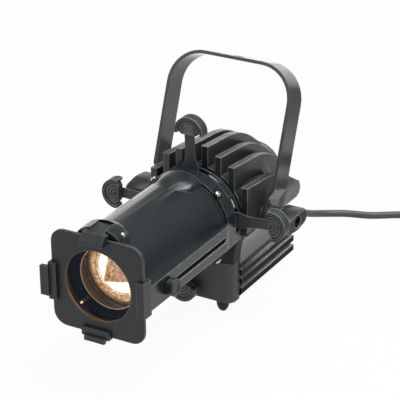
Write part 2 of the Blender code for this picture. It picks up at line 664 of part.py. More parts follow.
def reflector_housing(root):
    """The finned casting: round core, eight fins, side walls, flared neck and pivot bosses."""
    shares = (0.0, 0.36, 0.5, 0.64, 0.78, 0.9, 1.0)
    face = HOUSING_START + SEAT
    profile = [(face, CORE_RADIUS)]
    profile += [(HOUSING_START + HOUSING_LENGTH * share, core_radius(share)) for share in shares[1:]]
    body = solid(turned(profile, "Y"), "reflector_housing", root, "cast_black")

    fins = bmesh.new()
    for centre, height in zip(FIN_CENTRES[:-1], FIN_TOPS[:-1]):
        crest = fin_top(height, HOUSING_END - FIN_THICK, FIN_END_SLOPE)
        outline = crest + [(crest[-1][0], -FIN_THICK), (HOUSING_START, -FIN_THICK)]
        for side in (-1.0, 1.0):
            add = prism(outline, "X", side * centre - FIN_THICK / 2.0, side * centre + FIN_THICK / 2.0)
            merge(fins, add)
    fuse(body, fins)

    end = HOUSING_END - FIN_THICK * 0.5
    crest = fin_top(FIN_TOPS[-1], end, SIDE_WALL_END_SLOPE)
    low = -SIDE_WALL_DROP
    curl = min(SIDE_WALL_DROP * 0.6, (crest[-1][1] - low) * 0.5)
    wall = crest[:-1] + [(end - curl * 0.3, crest[-1][1] - curl * 0.1), (end, low + curl),
                         (end - curl * 0.3, low + curl * 0.3), (end - curl, low), (HOUSING_START, low)]
    for side in (-1.0, 1.0):
        inside = side * (HOUSING_SIDE - FIN_THICK)
        fuse(body, prism(wall, "X", min(inside, side * HOUSING_SIDE), max(inside, side * HOUSING_SIDE)))

    flange_end = face + SEAT + NECK_FLANGE
    fuse(body, prism(neck_outline(0.0), "Y", face + SEAT, flange_end))
    fuse(body, prism(neck_outline(NECK_INSET), "Y", flange_end - NECK_INSET, HOUSING_START + NECK_LENGTH))

    for side in (-1.0, 1.0):
        low_end = side * (HOUSING_SIDE - FIN_THICK / 2.0)
        high_end = side * BOSS_FACE
        fuse(body, rod("X", min(low_end, high_end), max(low_end, high_end), PIVOT_BOSS_RADIUS,
                       PIVOT_LINE, 28))

    hollow = [(HOUSING_START - CORE_WALL, CORE_RADIUS - CORE_WALL)]
    hollow += [(HOUSING_START + HOUSING_LENGTH * share, core_radius(share) - CORE_WALL)
               for share in shares[1:-1]]
    hollow += [(HOUSING_END - CORE_WALL, LAMP_PORT_RADIUS), (HOUSING_END + CORE_WALL, LAMP_PORT_RADIUS)]
    cut(body, turned(hollow, "Y", phase=0.5))
    cut(body, block((-BASE_HALF_WIDTH * 1.5, BASE_START - BASE_LEAD, -BASE_TOP - FRONT_CAP_DEPTH),
                    (BASE_HALF_WIDTH * 1.5, SHELL_START, -FRONT_CAP_TOP + SEAT)))
    wire = BASE_HALF_WIDTH - RIB_DEPTH - BASE_WALL
    cut(body, block((-wire, SHELL_START + CORE_WALL, -BASE_TOP - CORE_WALL),
                    (wire, HOUSING_START + NECK_LENGTH - CORE_WALL, -CORE_RADIUS - SLIDE)))
    hole = STUD_RADIUS + SEAT
    depth = PIVOT_BOSS_RISE + FIN_THICK * 0.7
    for side in (-1.0, 1.0):
        ends = sorted((side * (BOSS_FACE - depth), side * (BOSS_FACE + depth)))
        cut(body, rod("X", ends[0], ends[1], hole, PIVOT_LINE))


def merge(target, shape):
    """Adds the faces of one bmesh to another as a separate shell."""
    mesh = bpy.data.meshes.new("tool")
    shape.to_mesh(mesh)
    shape.free()
    target.from_mesh(mesh)
    bpy.data.meshes.remove(mesh)


def lamp_parts(root):
    """Reflector, lamp, holder and the rear cap that carries them."""
    rim = CORE_RADIUS - CORE_WALL - SEAT
    start = HOUSING_START + HOUSING_LENGTH * 0.17
    depth = HOUSING_LENGTH * 0.56
    wall = CORE_WALL * 0.4
    outer = []
    inner = []
    for index in range(6):
        angle = math.radians(78.0 * index / 5)
        radius = (rim - wall * 2.0) * math.cos(angle)
        outer.append((start + depth * math.sin(angle), radius))
        inner.append((start + (depth - wall) * math.sin(angle), radius - wall))
    profile = [(start, rim)] + [(start + wall, rim)] + outer[1:] + inner[::-1]
    solid(turned(profile, "Y", 36, ring=True), "reflector", root, "bright_mirror")

    cap_start = HOUSING_END + SEAT
    cap_end = cap_start + LAMP_CAP_DEPTH
    plug_in = HOUSING_END - CORE_WALL * 1.6
    spigot = LAMP_PORT_RADIUS - SLIDE
    cap = [(plug_in, spigot), (cap_start, spigot), (cap_start, CORE_REAR_RADIUS),
           (cap_start + CORE_WALL * 0.6, CORE_REAR_RADIUS),
           (cap_start + CORE_WALL * 0.9, CORE_REAR_RADIUS * 0.9),
           (cap_start + CORE_WALL * 0.9, CORE_REAR_RADIUS * 0.52), (cap_end, CORE_REAR_RADIUS * 0.46)]
    solid(turned(cap, "Y", 36), "lamp_cap", root, "cast_black")
    screw = CORE_WALL * 0.6
    for side, name in ((-1.0, "left"), (1.0, "right")):
        centre = (side * CORE_REAR_RADIUS * 0.72, 0.0)
        low = cap_start + CORE_WALL * 0.9 + SEAT
        dome = [(low, screw), (low + screw * 0.6, screw * 0.9), (low + screw, screw * 0.45)]
        solid(turned(dome, "Y", 14, centre), "cap_screw_" + name, root, "zinc_steel")

    holder_end = plug_in - SEAT
    holder_start = holder_end - HOUSING_LENGTH * 0.15
    holder = [(holder_start, spigot * 0.5), (holder_start + screw, spigot * 0.55),
              (holder_end - screw, spigot * 0.6), (holder_end, spigot * 0.72)]
    solid(turned(holder, "Y", 24), "lamp_holder", root, "ceramic")
    lamp_end = holder_start - SEAT
    lamp_start = lamp_end - HOUSING_LENGTH * 0.38
    bulb = spigot * 0.3
    lamp = [(lamp_start, 0.0), (lamp_start + bulb * 0.25, bulb * 0.6), (lamp_start + bulb, bulb),
            (lamp_end - bulb * 2.0, bulb), (lamp_end - bulb, bulb * 0.8),
            (lamp_end, bulb * 0.8)]
    solid(turned(lamp, "Y", 20), "lamp", root, "clear_glass")


def base_section():
    """The base extrusion's outline: flat top and bottom, with grooves between ribs on both sides."""
    wide = SHELL_HALF_WIDTH
    edge = RIB_DEPTH * 0.3
    groove = RIB_PITCH - RIB_FACE
    right = [(wide - edge, -BASE_TOP), (wide, -BASE_TOP - edge)]
    for index in range(RIB_GROOVES):
        top = -BASE_TOP - RIB_TOP_FACE - index * RIB_PITCH
        right += [(wide, top), (wide - RIB_DEPTH, top), (wide - RIB_DEPTH, top - groove), (wide, top - groove)]
    last = -BASE_TOP - RIB_TOP_FACE - RIB_GROOVES * RIB_PITCH
    right += [(wide, max(last, -BASE_BOTTOM + edge)), (wide - RIB_DEPTH, -BASE_BOTTOM)]
    return right + [(-across, rise) for across, rise in reversed(right)]


def base(root):
    body = solid(prism(base_section(), "Y", SHELL_START, SHELL_END), "base_shell", root, "satin_black")
    inner = SHELL_HALF_WIDTH - RIB_DEPTH - BASE_WALL
    floor = -BASE_BOTTOM + BASE_WALL
    roof = -BASE_TOP - BASE_WALL
    cut(body, block((-inner, SHELL_START - BASE_WALL, floor), (inner, SHELL_END + BASE_WALL, roof)))
    wire = inner * 0.4
    middle = (SHELL_START + SHELL_END) / 2.0
    cut(body, block((-wire, middle - wire, roof - BASE_WALL), (wire, middle + wire, -BASE_TOP + BASE_WALL)))

    corner = FRONT_CAP_DEPTH * 0.55
    cap = [(-BASE_HALF_WIDTH, SHELL_START - SEAT), (-BASE_HALF_WIDTH, BASE_START + corner)]
    cap += arc((-BASE_HALF_WIDTH + corner, BASE_START + corner), corner, 180.0, 270.0, 6)
    cap += arc((BASE_HALF_WIDTH - corner, BASE_START + corner), corner, 270.0, 360.0, 6)
    cap += [(BASE_HALF_WIDTH, SHELL_START - SEAT)]
    solid(prism(cap, "Z", -BASE_BOTTOM, -FRONT_CAP_TOP), "base_front_cap", root, "moulded_black")

    lid = inner - SEAT
    back = rounded_box(-lid, lid, floor + SEAT, roof - SEAT, BASE_WALL * 0.5, 3)
    solid(prism(back, "Y", BASE_END - REAR_CAP_DEPTH, BASE_END), "base_rear_cap", root, "moulded_black")

    core_low = floor + SEAT
    core_high = roof - SLIDE
    front = SHELL_START + (SHELL_END - SHELL_START) * 0.22
    rear = BASE_END - REAR_CAP_DEPTH - BASE_WALL
    side = inner - SLIDE
    stack = [(-side, front), (side, front), (side, rear), (-side, rear)]
    iron = solid(prism(stack, "Z", core_low, core_high), "transformer", root, "iron_core")
    notch = side * 0.28
    for sign in (-1.0, 1.0):
        ends = sorted((sign * (side - notch), sign * side * 1.2))
        cut(iron, block((ends[0], front + notch * 2.0, core_low - notch),
                        (ends[1], rear - notch * 2.0, core_high + notch)))

    ends = (("front", BASE_START + FOOT_INSET, BASE_HALF_WIDTH - FOOT_SIDE_INSET),
            ("rear", BASE_END - FOOT_REAR_INSET, BASE_HALF_WIDTH - FOOT_REAR_SIDE_INSET))
    for side_name, sign in (("left", -1.0), ("right", 1.0)):
        for end_name, place, across in ends:
            top = -BASE_BOTTOM - SEAT
            drop = -AXIS_HEIGHT
            foot = [(top, FOOT_RADIUS), (top - FOOT_HEIGHT * 0.2, FOOT_RADIUS),
                    (top - FOOT_HEIGHT * 0.55, FOOT_RADIUS * 0.88),
                    (top - FOOT_HEIGHT * 0.82, FOOT_RADIUS * 0.66),
                    (drop, FOOT_RADIUS * 0.42)]
            solid(turned(foot, "Z", 16, (sign * across, place)), "foot_" + end_name + "_" + side_name,
                  root, "rubber_black")


def strap_sides(path, thick):
    """The two edges of a strap of even thickness along a path."""
    left = []
    right = []
    for index, point in enumerate(path):
        before = path[max(index - 1, 0)]
        after = path[min(index + 1, len(path) - 1)]
        ahead = Vector((after[0] - before[0], after[1] - before[1])).normalized()
        reach = Vector((after[0] - point[0], after[1] - point[1]))
        lead = reach.normalized() if reach.length > 0.0 else ahead
        normal = Vector((-ahead[1], ahead[0])) * (thick / 2.0 / ahead.dot(lead))
        left.append((point[0] + normal[0], point[1] + normal[1]))
        right.append((point[0] - normal[0], point[1] - normal[1]))
    return left, right


def yoke(hinge):
    """A bent flat strap: two joggled arms with round ends and a top bar with its hanging hole."""
    low = YOKE_PIVOT_INNER + YOKE_THICK / 2.0
    wide = YOKE_HALF_WIDTH - YOKE_THICK / 2.0
    top = YOKE_HEIGHT - YOKE_THICK / 2.0
    bend = YOKE_CORNER - YOKE_THICK / 2.0
    half = YOKE_STRAP / 2.0
    path = []
    widths = []
    for degrees in (84.0, 70.0, 54.0, 38.0, 20.0, 0.0):
        path.append((low, -half * math.sin(math.radians(degrees))))
        widths.append(half * math.cos(math.radians(degrees)))
    rise = half + PIVOT_DROP
    path += [(low, rise * 0.93), (low + (wide - low) * 0.15, rise * 1.05),
             (low + (wide - low) * 0.85, rise * 1.48), (wide, rise * 1.6)]
    path += arc((wide - bend, top - bend), bend, 0.0, 90.0, 10)
    widths += [half] * (len(path) - len(widths))
    path += [(-across, rise) for across, rise in reversed(path)]
    widths += widths[::-1]
    left, right = strap_sides(path, YOKE_THICK)
    sections = []
    for one, two, width in zip(left, right, widths):
        sections.append([Vector((one[0], -width, one[1])), Vector((one[0], width, one[1])),
                         Vector((two[0], width, two[1])), Vector((two[0], -width, two[1]))])
    body = solid(loft(sections), "yoke", hinge, "satin_black")
    for side in (-1.0, 1.0):
        ends = sorted((side * (YOKE_PIVOT_INNER - YOKE_THICK), side * (YOKE_PIVOT_OUTER + YOKE_THICK)))
        cut(body, rod("X", ends[0], ends[1], STUD_RADIUS + SEAT))
    cut(body, rod("Z", top - YOKE_THICK * 2.0, top + YOKE_THICK * 2.0, YOKE_HOLE_RADIUS, steps=24))


def pivot(name, side, root, hinge):
    """Stud, friction washer and lock knob of one yoke arm."""
    knob_start = YOKE_PIVOT_OUTER + SEAT
    stud_low = BOSS_FACE - PIVOT_BOSS_RISE - FIN_THICK * 0.6
    stud_high = knob_start + LOCK_REACH * 0.5
    ends = sorted((side * stud_low, side * stud_high))
    solid(rod("X", ends[0], ends[1], STUD_RADIUS, PIVOT_LINE), "pivot_stud_" + name, root, "zinc_steel")
    ends = sorted((side * (BOSS_FACE + SEAT), side * WASHER_FACE))
    solid(tube_ring("X", ends[0], ends[1], STUD_RADIUS + SEAT, PIVOT_BOSS_RADIUS * 0.96, 28, PIVOT_LINE),
          "friction_washer_" + name, root, "rubber_black")

    wing_low = knob_start + LOCK_REACH * 0.3
    wing_high = knob_start + LOCK_REACH
    hub = [(side * knob_start, LOCK_HUB_RADIUS), (side * (wing_low + LOCK_REACH * 0.1), LOCK_HUB_RADIUS)]
    body = solid(turned(hub, "X", 28), "lock_knob_" + name, hinge, "moulded_black")
    edge = LOCK_REACH * 0.07
    levels = ((wing_low, 0.9), (wing_low + edge, 1.0), (wing_high - edge, 1.0), (wing_high, 0.9))
    wing = loft([[Vector((side * level, along * share, rise * share)) for along, rise in lock_outline()]
                 for level, share in levels])
    fuse(body, turn_shape(wing, LOCK_TURN, "X"))
    recess = sorted((side * (wing_high - LOCK_REACH * 0.24), side * (wing_high + LOCK_REACH)))
    cut(body, rod("X", recess[0], recess[1], LOCK_RECESS_RADIUS, steps=24))
    ends = sorted((side * (knob_start - LOCK_REACH), side * (stud_high + SEAT)))
    cut(body, rod("X", ends[0], ends[1], STUD_RADIUS + SEAT))


def lock_outline():
    """The lock knob's wing: full in the middle and drawn in to a round end on each side."""
    reach = LOCK_WING / 2.0 - LOCK_END_RADIUS
    half = LOCK_WING_THICK / 2.0
    waist = reach * 0.36
    points = arc((reach, 0.0), LOCK_END_RADIUS, -66.0, 66.0, 6)
    points += [(waist, half * 0.94), (0.0, half), (-waist, half * 0.94)]
    points += arc((-reach, 0.0), LOCK_END_RADIUS, 114.0, 246.0, 6)
    points += [(-waist, -half * 0.94), (0.0, -half), (waist, -half * 0.94)]
    return points


def smooth_route(route, spacing):
    """Even points on a smooth curve through hand-chosen route points."""
    dense = []
    for index in range(len(route) - 1):
        before = Vector(route[max(index - 1, 0)])
        start = Vector(route[index])
        end = Vector(route[index + 1])
        after = Vector(route[min(index + 2, len(route) - 1)])
        reach = (end - start).length
        lead = (end - before).normalized() * reach
        tail = (after - start).normalized() * reach
        for step in range(24):
            t = step / 24.0
            dense.append(start * (2 * t ** 3 - 3 * t ** 2 + 1) + lead * (t ** 3 - 2 * t ** 2 + t)
                         + end * (3 * t ** 2 - 2 * t ** 3) + tail * (t ** 3 - t ** 2))
    dense.append(Vector(route[-1]))
    total = sum((far - near).length for near, far in zip(dense, dense[1:]))
    count = max(2, round(total / spacing))
    points = [dense[0]]
    walked = 0.0
    for near, far in zip(dense, dense[1:]):
        length = (far - near).length
        while len(points) < count and walked + length >= total * len(points) / count:
            share = (total * len(points) / count - walked) / length
            points.append(near.lerp(far, share))
        walked += length
    points.append(dense[-1])
    return points


def tube(name, points, parent, resolution):
    """A round cord through points."""
    curve = bpy.data.curves.new(name, "CURVE")
    curve.dimensions = "3D"
    curve.bevel_depth = CORD_RADIUS
    curve.bevel_resolution = resolution
    curve.use_fill_caps = True
    spline = curve.splines.new("POLY")
    spline.points.add(len(points) - 1)
    for slot, point in zip(spline.points, points):
        slot.co = (*point, 1.0)
    made = bpy.data.objects.new(name, curve)
    bpy.context.scene.collection.objects.link(made)
    made.parent = parent
    curve.materials.append(material(name, *FINISHES["rubber_black"]))
    return made


def length_of(points):
    return sum((far - near).length for near, far in zip(points, points[1:]))


def coil_points():
    """Loops that spiral in on the floor, climb one layer in half a turn and spiral out again."""
    steps = 24
    inward = COIL_TURNS * steps
    climb = steps // 2
    total = int(2 * inward + climb)
    points = []
    for index in range(total + 1):
        angle = math.radians(90.0) - 2.0 * math.pi * index / steps
        if index <= inward:
            radius = COIL_OUTER_RADIUS - COIL_PITCH * index / steps
            lift = 0.0
        elif index <= inward + climb:
            share = (index - inward) / climb
            dip = COIL_PITCH * climb / steps * (share - share ** 2)
            radius = COIL_OUTER_RADIUS - COIL_PITCH * COIL_TURNS - dip
            lift = COIL_PITCH * (share * share * (3.0 - 2.0 * share))
        else:
            radius = COIL_OUTER_RADIUS - COIL_PITCH * (total - index) / steps
            lift = COIL_PITCH
        points.append(Vector((COIL_CENTRE[0] + radius * math.cos(angle),
                              COIL_CENTRE[1] + radius * math.sin(angle), COIL_LINE + lift)))
    return points


def least_gap(points):
    """The smallest room between one stretch of the coil and the next."""
    reach = 8
    count = len(points)
    least = min((points[a] - points[b]).length for a in range(count) for b in range(a + reach, count))
    return least - 2.0 * CORD_RADIUS


def power_lead(root):
    """Gland, free cord, coil, tie and plug."""
    exit_x = CORD_EXIT_SIDE
    nut = CORD_RADIUS * 2.4
    start = BASE_END + SEAT
    gland = [(start, nut), (start + nut * 0.7, nut), (start + nut * 0.7, nut * 0.72)]
    ribs = 4
    taper = GLAND_LENGTH - nut * 0.7
    for index in range(ribs):
        near = start + nut * 0.7 + taper * (index + 0.55) / ribs
        far = start + nut * 0.7 + taper * (index + 1.0) / ribs
        wide = nut * (0.72 - 0.12 * (index + 1.0) / ribs)
        gland += [(near, wide), (near, wide * 0.86), (far, wide * 0.86)]
        if index < ribs - 1:
            gland.append((far, wide * 0.97))
    solid(turned(gland, "Y", 14, (exit_x, -CORD_EXIT_DROP)), "cable_gland", root, "rubber_black")

    cord_start = start + GLAND_LENGTH + SEAT
    coil = coil_points()
    entry = coil[0]
    step = CORD_RADIUS * 2.0
    drop = -CORD_EXIT_DROP
    fall = FLOOR_LINE - drop
    joint = entry[0] - step
    route = [(exit_x, cord_start, drop), (exit_x, cord_start + step, drop),
             (exit_x + 0.26 * step, cord_start + 3.95 * step, drop + fall * 0.27),
             (exit_x + 0.8 * step, cord_start + 7.1 * step, drop + fall * 0.69),
             (exit_x + 2.0 * step, cord_start + 10.0 * step, drop + fall * 0.94),
             (exit_x + 4.25 * step, cord_start + 11.76 * step, FLOOR_LINE),
             (exit_x + 7.5 * step, cord_start + 12.85 * step, FLOOR_LINE),
             (exit_x + 11.4 * step, cord_start + 15.2 * step, FLOOR_LINE),
             (joint - 4.0 * step, entry[1], FLOOR_LINE + (COIL_LINE - FLOOR_LINE) * 0.6),
             (joint - step - SEAT, entry[1], COIL_LINE), (joint - SEAT, entry[1], COIL_LINE)]
    lead = [Vector(route[0])] + smooth_route(route[1:-1], 2.2 * step) + [Vector(route[-1])]
    tube("power_cord", lead, root, 2)

    heading = Vector((math.cos(COIL_EXIT - math.pi / 2.0), math.sin(COIL_EXIT - math.pi / 2.0), 0.0))
    climb = PLUG_RADIUS - AXIS_HEIGHT - coil[-1][2]
    tail = []
    for share in (0.2, 0.4, 0.6, 0.8, 1.0):
        rise = climb * share * share * (3.0 - 2.0 * share)
        tail.append(coil[-1] + heading * (7.0 * step * share) + Vector((0.0, 0.0, rise)))
    tail.append(tail[-1] + heading * step)
    loops = [Vector((joint, entry[1], entry[2]))] + coil + tail
    tube("cord_coil", loops, root, 1)
    print("cord least gap mm", round(least_gap(loops) / MM, 3))
    print("cord length m", round(length_of(lead) + length_of(loops), 3))
    cord_tie(root)
    plug(axis_empty("plug_axis", root, tail[-1] + heading * SEAT, (0.0, 0.0, COIL_EXIT)))


def cord_tie(root):
    """A hook-and-loop band round the coil's strands."""
    holder = axis_empty("tie_axis", root, (*COIL_CENTRE, 0.0), (0.0, 0.0, math.radians(TIE_TURN)))
    gap = 2.0 * SEAT
    inner = COIL_OUTER_RADIUS - COIL_PITCH * (COIL_TURNS + 0.25) - CORD_RADIUS - gap
    outer = COIL_OUTER_RADIUS + CORD_RADIUS + gap
    low = COIL_LINE - CORD_RADIUS - SEAT
    high = COIL_LINE + COIL_PITCH + CORD_RADIUS + gap
    half = TIE_WIDTH / 2.0
    band = rounded_box(inner - TIE_THICK, outer + TIE_THICK, low - TIE_THICK, high + TIE_THICK,
                       CORD_RADIUS, 4)
    body = solid(prism(band, "Y", -half, half), "cord_tie", holder, "rubber_black")
    room = rounded_box(inner, outer, low, high, CORD_RADIUS - TIE_THICK, 4)
    cut(body, prism(room, "Y", -TIE_WIDTH, TIE_WIDTH))


def plug(holder):
    """A moulded two-pin plug, drawn pointing along -Y from the cord's end."""
    neck = CORD_RADIUS * 1.5
    profile = [(0.0, CORD_RADIUS), (-PLUG_LENGTH * 0.34, neck),
               (-PLUG_LENGTH * 0.46, PLUG_RADIUS * 0.74), (-PLUG_LENGTH * 0.58, PLUG_RADIUS * 0.95),
               (-PLUG_LENGTH * 0.7, PLUG_RADIUS), (-PLUG_LENGTH, PLUG_RADIUS)]
    body = solid(turned(profile, "Y", 28), "plug", holder, "rubber_black")
    for side in (-1.0, 1.0):
        fuse(body, rod("Y", -PLUG_LENGTH - PIN_LENGTH, -PLUG_LENGTH * 0.8, PIN_RADIUS,
                       (side * PIN_SPREAD / 2.0, 0.0), 14))


def shade():
    """Smooth shading with crisp edges on every mesh."""
    for made in bpy.data.objects:
        if made.type == "MESH":
            made.data.shade_smooth()
            made.data.set_sharp_from_angle(angle=math.radians(32.0))


def build():
    for spent in list(bpy.data.objects):
        bpy.data.objects.remove(spent, do_unlink=True)
    root = axis_empty("optical_axis", None, (0.0, FRAME_PLACE, AXIS_HEIGHT))
    barrel = axis_empty("barrel_axis", root, (0.0, 0.0, 0.0))
    colour_frame(barrel)
    frame_holder(barrel)
    frame_latch(axis_empty("latch_axis", barrel, (0.0, LATCH_PIN_BACK, LATCH_PIN_RISE)))
    latch_pin(barrel)
    lens_tube(barrel)
    focus = axis_empty("focus_slide", barrel, (0.0, CARRIER_START, 0.0))
    lens_carrier(focus)
    focus_knob(axis_empty("focus_knob_axis", focus, (RAIL_REACH, FOCUS_STUD_BACK, -FOCUS_DROP)))
    gate_collar(barrel)
    gate(barrel)
    for order, (name, degrees) in enumerate(SHUTTER_ANGLES.items()):
        turn = math.radians(degrees)
        inward = BOTTOM_SHUTTER_IN if name == "bottom" else 0.0
        place = (-inward * math.sin(turn), SHUTTER_PLANE, -inward * math.cos(turn))
        shutter(name, order, axis_empty("shutter_slide_" + name, barrel, place, (0.0, turn, 0.0)))
    reflector_housing(root)
    lamp_parts(root)
    base(root)
    yoke(axis_empty("yoke_axis", root, (0.0, *PIVOT_LINE), (math.radians(-YOKE_LEAN), 0.0, 0.0)))
    for name, side in (("left", -1.0), ("right", 1.0)):
        pivot(name, side, root, axis_empty("lock_axis_" + name, root, (0.0, *PIVOT_LINE)))
    power_lead(root)
    shade()


build()
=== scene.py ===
import json
import math
from functools import partialmethod

import bmesh
import bpy
from bpy.props import FloatProperty, FloatVectorProperty, PointerProperty
from mathutils import Matrix, Vector

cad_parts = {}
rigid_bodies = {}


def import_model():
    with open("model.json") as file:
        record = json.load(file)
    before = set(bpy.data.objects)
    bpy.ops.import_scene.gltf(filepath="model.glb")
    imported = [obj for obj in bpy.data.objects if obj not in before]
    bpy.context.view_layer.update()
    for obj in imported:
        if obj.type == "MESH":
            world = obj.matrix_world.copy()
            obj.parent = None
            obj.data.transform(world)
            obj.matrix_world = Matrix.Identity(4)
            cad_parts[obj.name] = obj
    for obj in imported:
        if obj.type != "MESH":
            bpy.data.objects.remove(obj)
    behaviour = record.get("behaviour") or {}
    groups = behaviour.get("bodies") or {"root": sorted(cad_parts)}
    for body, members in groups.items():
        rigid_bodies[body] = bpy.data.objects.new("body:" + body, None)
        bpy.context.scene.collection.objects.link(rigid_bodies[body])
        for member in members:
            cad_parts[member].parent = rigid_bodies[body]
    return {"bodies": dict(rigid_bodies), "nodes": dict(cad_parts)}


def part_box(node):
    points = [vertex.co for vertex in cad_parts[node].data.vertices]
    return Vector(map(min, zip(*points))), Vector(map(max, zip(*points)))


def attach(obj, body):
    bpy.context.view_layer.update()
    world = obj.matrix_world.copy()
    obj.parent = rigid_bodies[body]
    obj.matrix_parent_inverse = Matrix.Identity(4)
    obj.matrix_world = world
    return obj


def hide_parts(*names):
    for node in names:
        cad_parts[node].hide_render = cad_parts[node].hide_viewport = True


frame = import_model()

bl_info = {
    "name": "Framing Spot Dresser",
    "version": (1, 0, 0),
    "blender": (4, 5, 0),
    "location": "View3D > Sidebar > Framing Spot",
    "description": "Dresses the packed framing spot with paint, plastic, glass, lamplight, screws and a lead",
    "category": "Object",
}

MM = 0.001
ORIGIN = (0.0, 0.0, 0.0)

# Only the CAD stays in the scene, and its box is measured before anything is added

CAD_OBJECTS = set(frame["nodes"].values()) | set(frame["bodies"].values())
for spare in list(bpy.data.objects):
    if spare not in CAD_OBJECTS:
        bpy.data.objects.remove(spare, do_unlink=True)
bpy.context.view_layer.update()

PLATE_LOW, PLATE_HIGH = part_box("colour_frame")
AXIS_HEIGHT = (PLATE_LOW.z + PLATE_HIGH.z) / 2.0
FRONT = PLATE_LOW.y
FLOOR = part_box("foot_front_left")[0].z


def depth(back):
    """World Y of a place, from millimetres behind the colour frame's front."""
    return FRONT + back * MM


def height(rise):
    """World Z of a place, from millimetres above the colour frame's centre."""
    return AXIS_HEIGHT + rise * MM


def at(x, back, rise):
    """A place in metres, from millimetres right of, behind and above the colour frame's centre."""
    return Vector((x * MM, depth(back), height(rise)))


def node_box(name):
    """A node's corners in millimetres from the colour frame's centre."""
    low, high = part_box(name)
    origin = at(*ORIGIN)
    return (low - origin) / MM, (high - origin) / MM


def nodes_like(*starts):
    """Names of the nodes that begin with one of the given words."""
    return [name for name in frame["nodes"] if name.startswith(starts)]


# Sizes, colours and stage that the panel shows

COLOUR = {"size": 3, "min": 0.0, "max": 1.0, "subtype": "COLOR"}
SHARE = {"min": 0.0, "max": 1.0, "subtype": "FACTOR"}


class SpotSizes(bpy.types.PropertyGroup):
    """Sizes of the pieces that dress the spot."""

    edge_round: FloatProperty(
        name="Edge round", description="Radius that the paint shows on every hard edge",
        default=0.6 * MM, min=0.0, unit="LENGTH")
    cord_diameter: FloatProperty(
        name="Cord diameter", description="Outside diameter of the lead",
        default=7.0 * MM, min=1.0 * MM, unit="LENGTH")
    cord_length: FloatProperty(
        name="Cord length", description="Length of the lead from gland to plug",
        default=1.53, min=0.1, unit="LENGTH")
    screw_head: FloatProperty(
        name="Screw head", description="Radius of the pan heads on the collar",
        default=2.9 * MM, min=0.5 * MM, unit="LENGTH")
    small_screw_head: FloatProperty(
        name="Small screw head", description="Radius of the pan head on the hump",
        default=2.2 * MM, min=0.5 * MM, unit="LENGTH")
    tie_width: FloatProperty(
        name="Tie width", description="Width of the band round the coil",
        default=8.0 * MM, min=2.0 * MM, unit="LENGTH")


class SpotColours(bpy.types.PropertyGroup):
    """Colours and gloss of the spot's finishes."""

    body_black: FloatVectorProperty(
        name="Body black", description="Satin powder coat of the tube, frame and base",
        default=(0.0125, 0.0155, 0.0175), **COLOUR)
    cast_black: FloatVectorProperty(
        name="Casting black", description="Powder coat of the finned castings",
        default=(0.03, 0.0325, 0.035), **COLOUR)
    yoke_grey: FloatVectorProperty(
        name="Yoke grey", description="Smooth grey-black coat of the yoke",
        default=(0.038, 0.039, 0.039), **COLOUR)
    plastic: FloatVectorProperty(
        name="Plastic", description="Moulded grips, knobs and caps",
        default=(0.042, 0.047, 0.049), **COLOUR)
    rubber: FloatVectorProperty(
        name="Rubber", description="Feet, gland, plug and lead",
        default=(0.035, 0.037, 0.0365), **COLOUR)
    steel: FloatVectorProperty(
        name="Steel", description="Bright screws, studs and plug pins",
        default=(0.72, 0.71, 0.68), **COLOUR)
    # edge colour of rubbed paint and of the painted highlight on edges
    edge_wear_highlight: FloatVectorProperty(
        name="Worn edge", description="Paint rubbed thin along edges",
        default=(0.32, 0.325, 0.33), **COLOUR)
    # pale colour of dust and of the painted top light on faces that look up
    dust_and_top_light: FloatVectorProperty(
        name="Dust", description="Pale dust on upward faces",
        default=(0.38, 0.38, 0.375), **COLOUR)
    lamplight: FloatVectorProperty(
        name="Lamplight", description="Warm light on the colour frame's inner rim",
        default=(1.0, 0.42, 0.14), **COLOUR)
    body_gloss: FloatProperty(
        name="Body roughness", description="Roughness of the satin coat", default=0.24, **SHARE)


class SpotStage(bpy.types.PropertyGroup):
    """Light, floor and camera of the studio."""

    floor_white: FloatVectorProperty(
        name="Floor white", description="Colour of the pale floor",
        default=(0.62, 0.62, 0.62), **COLOUR)
    floor_glow: FloatProperty(
        name="Floor glow", description="Share of plain white that the camera and the glass see on the floor",
        default=0.95, **SHARE)
    key_power: FloatProperty(
        name="Key light", description="Power of the soft light from the upper right",
        default=16.0, min=0.0, unit="POWER")
    fill_power: FloatProperty(
        name="Fill light", description="Power of the soft light from the front left",
        default=4.0, min=0.0, unit="POWER")
    top_power: FloatProperty(
        name="Top light", description="Power of the overhead light", default=14.0, min=0.0, unit="POWER")
    room_light: FloatProperty(
        name="Room light", description="Strength of the even light of the room", default=0.272, min=0.0)
    lens_length: FloatProperty(
        name="Camera lens", description="Focal length of the camera in millimetres",
        default=168.0, min=10.0, unit="CAMERA")


# Camera fitted to the photograph

CAMERA_TURN = math.radians(30.28)
CAMERA_TILT = math.radians(25.26)
CAMERA_ROLL = math.radians(-0.71)
CAMERA_PLACE = (730.38, -1088.32, 692.21)
SENSOR_WIDTH = 36.0

# Studio, in metres: lights as place and size, their aim in millimetres, and what reflections find

KEY_PANEL = ((0.75, 0.2, 1.3), 0.9)
TOP_PANEL = ((0.0, 0.1, 1.6), 1.2)
FILL_PANEL = ((-0.9, -1.2, 1.0), 1.2)
LIGHT_AIM = (0.0, 130.0, 0.0)
FLOOR_SIZE = 6.0
FLOOR_MIRROR = 0.85
FLOOR_SHEEN = 0.75
FLOOR_FAR_LOSS = 0.75
COVE_WAY = (-0.5, 0.86, 0.0)
COVE_GLOW = 1.68
SKY_LOW, SKY_HIGH = 0.19, 0.27

# Where the finishes change, in millimetres from the colour frame's centre

RAIL_TOP = 8.0
RAIL_INNER = 41.0
NECK_FLANGE_END = 173.9
NECK_TOP = -10.0
NECK_GROOVE_SHADE = (-53.6, -50.4)
FLANK_START = 225.0
MOUNT_RADIUS = 34.2
REAR_LENS_RADIUS = 26.9
REAR_LENS_BULGE = 1.6
REAR_LENS_THICK = 2.0
REAR_LENS_GAP = 0.6
COLLAR_SCREW_DEPTH = 138.6
WINDOW_FADE = 0.4 * MM
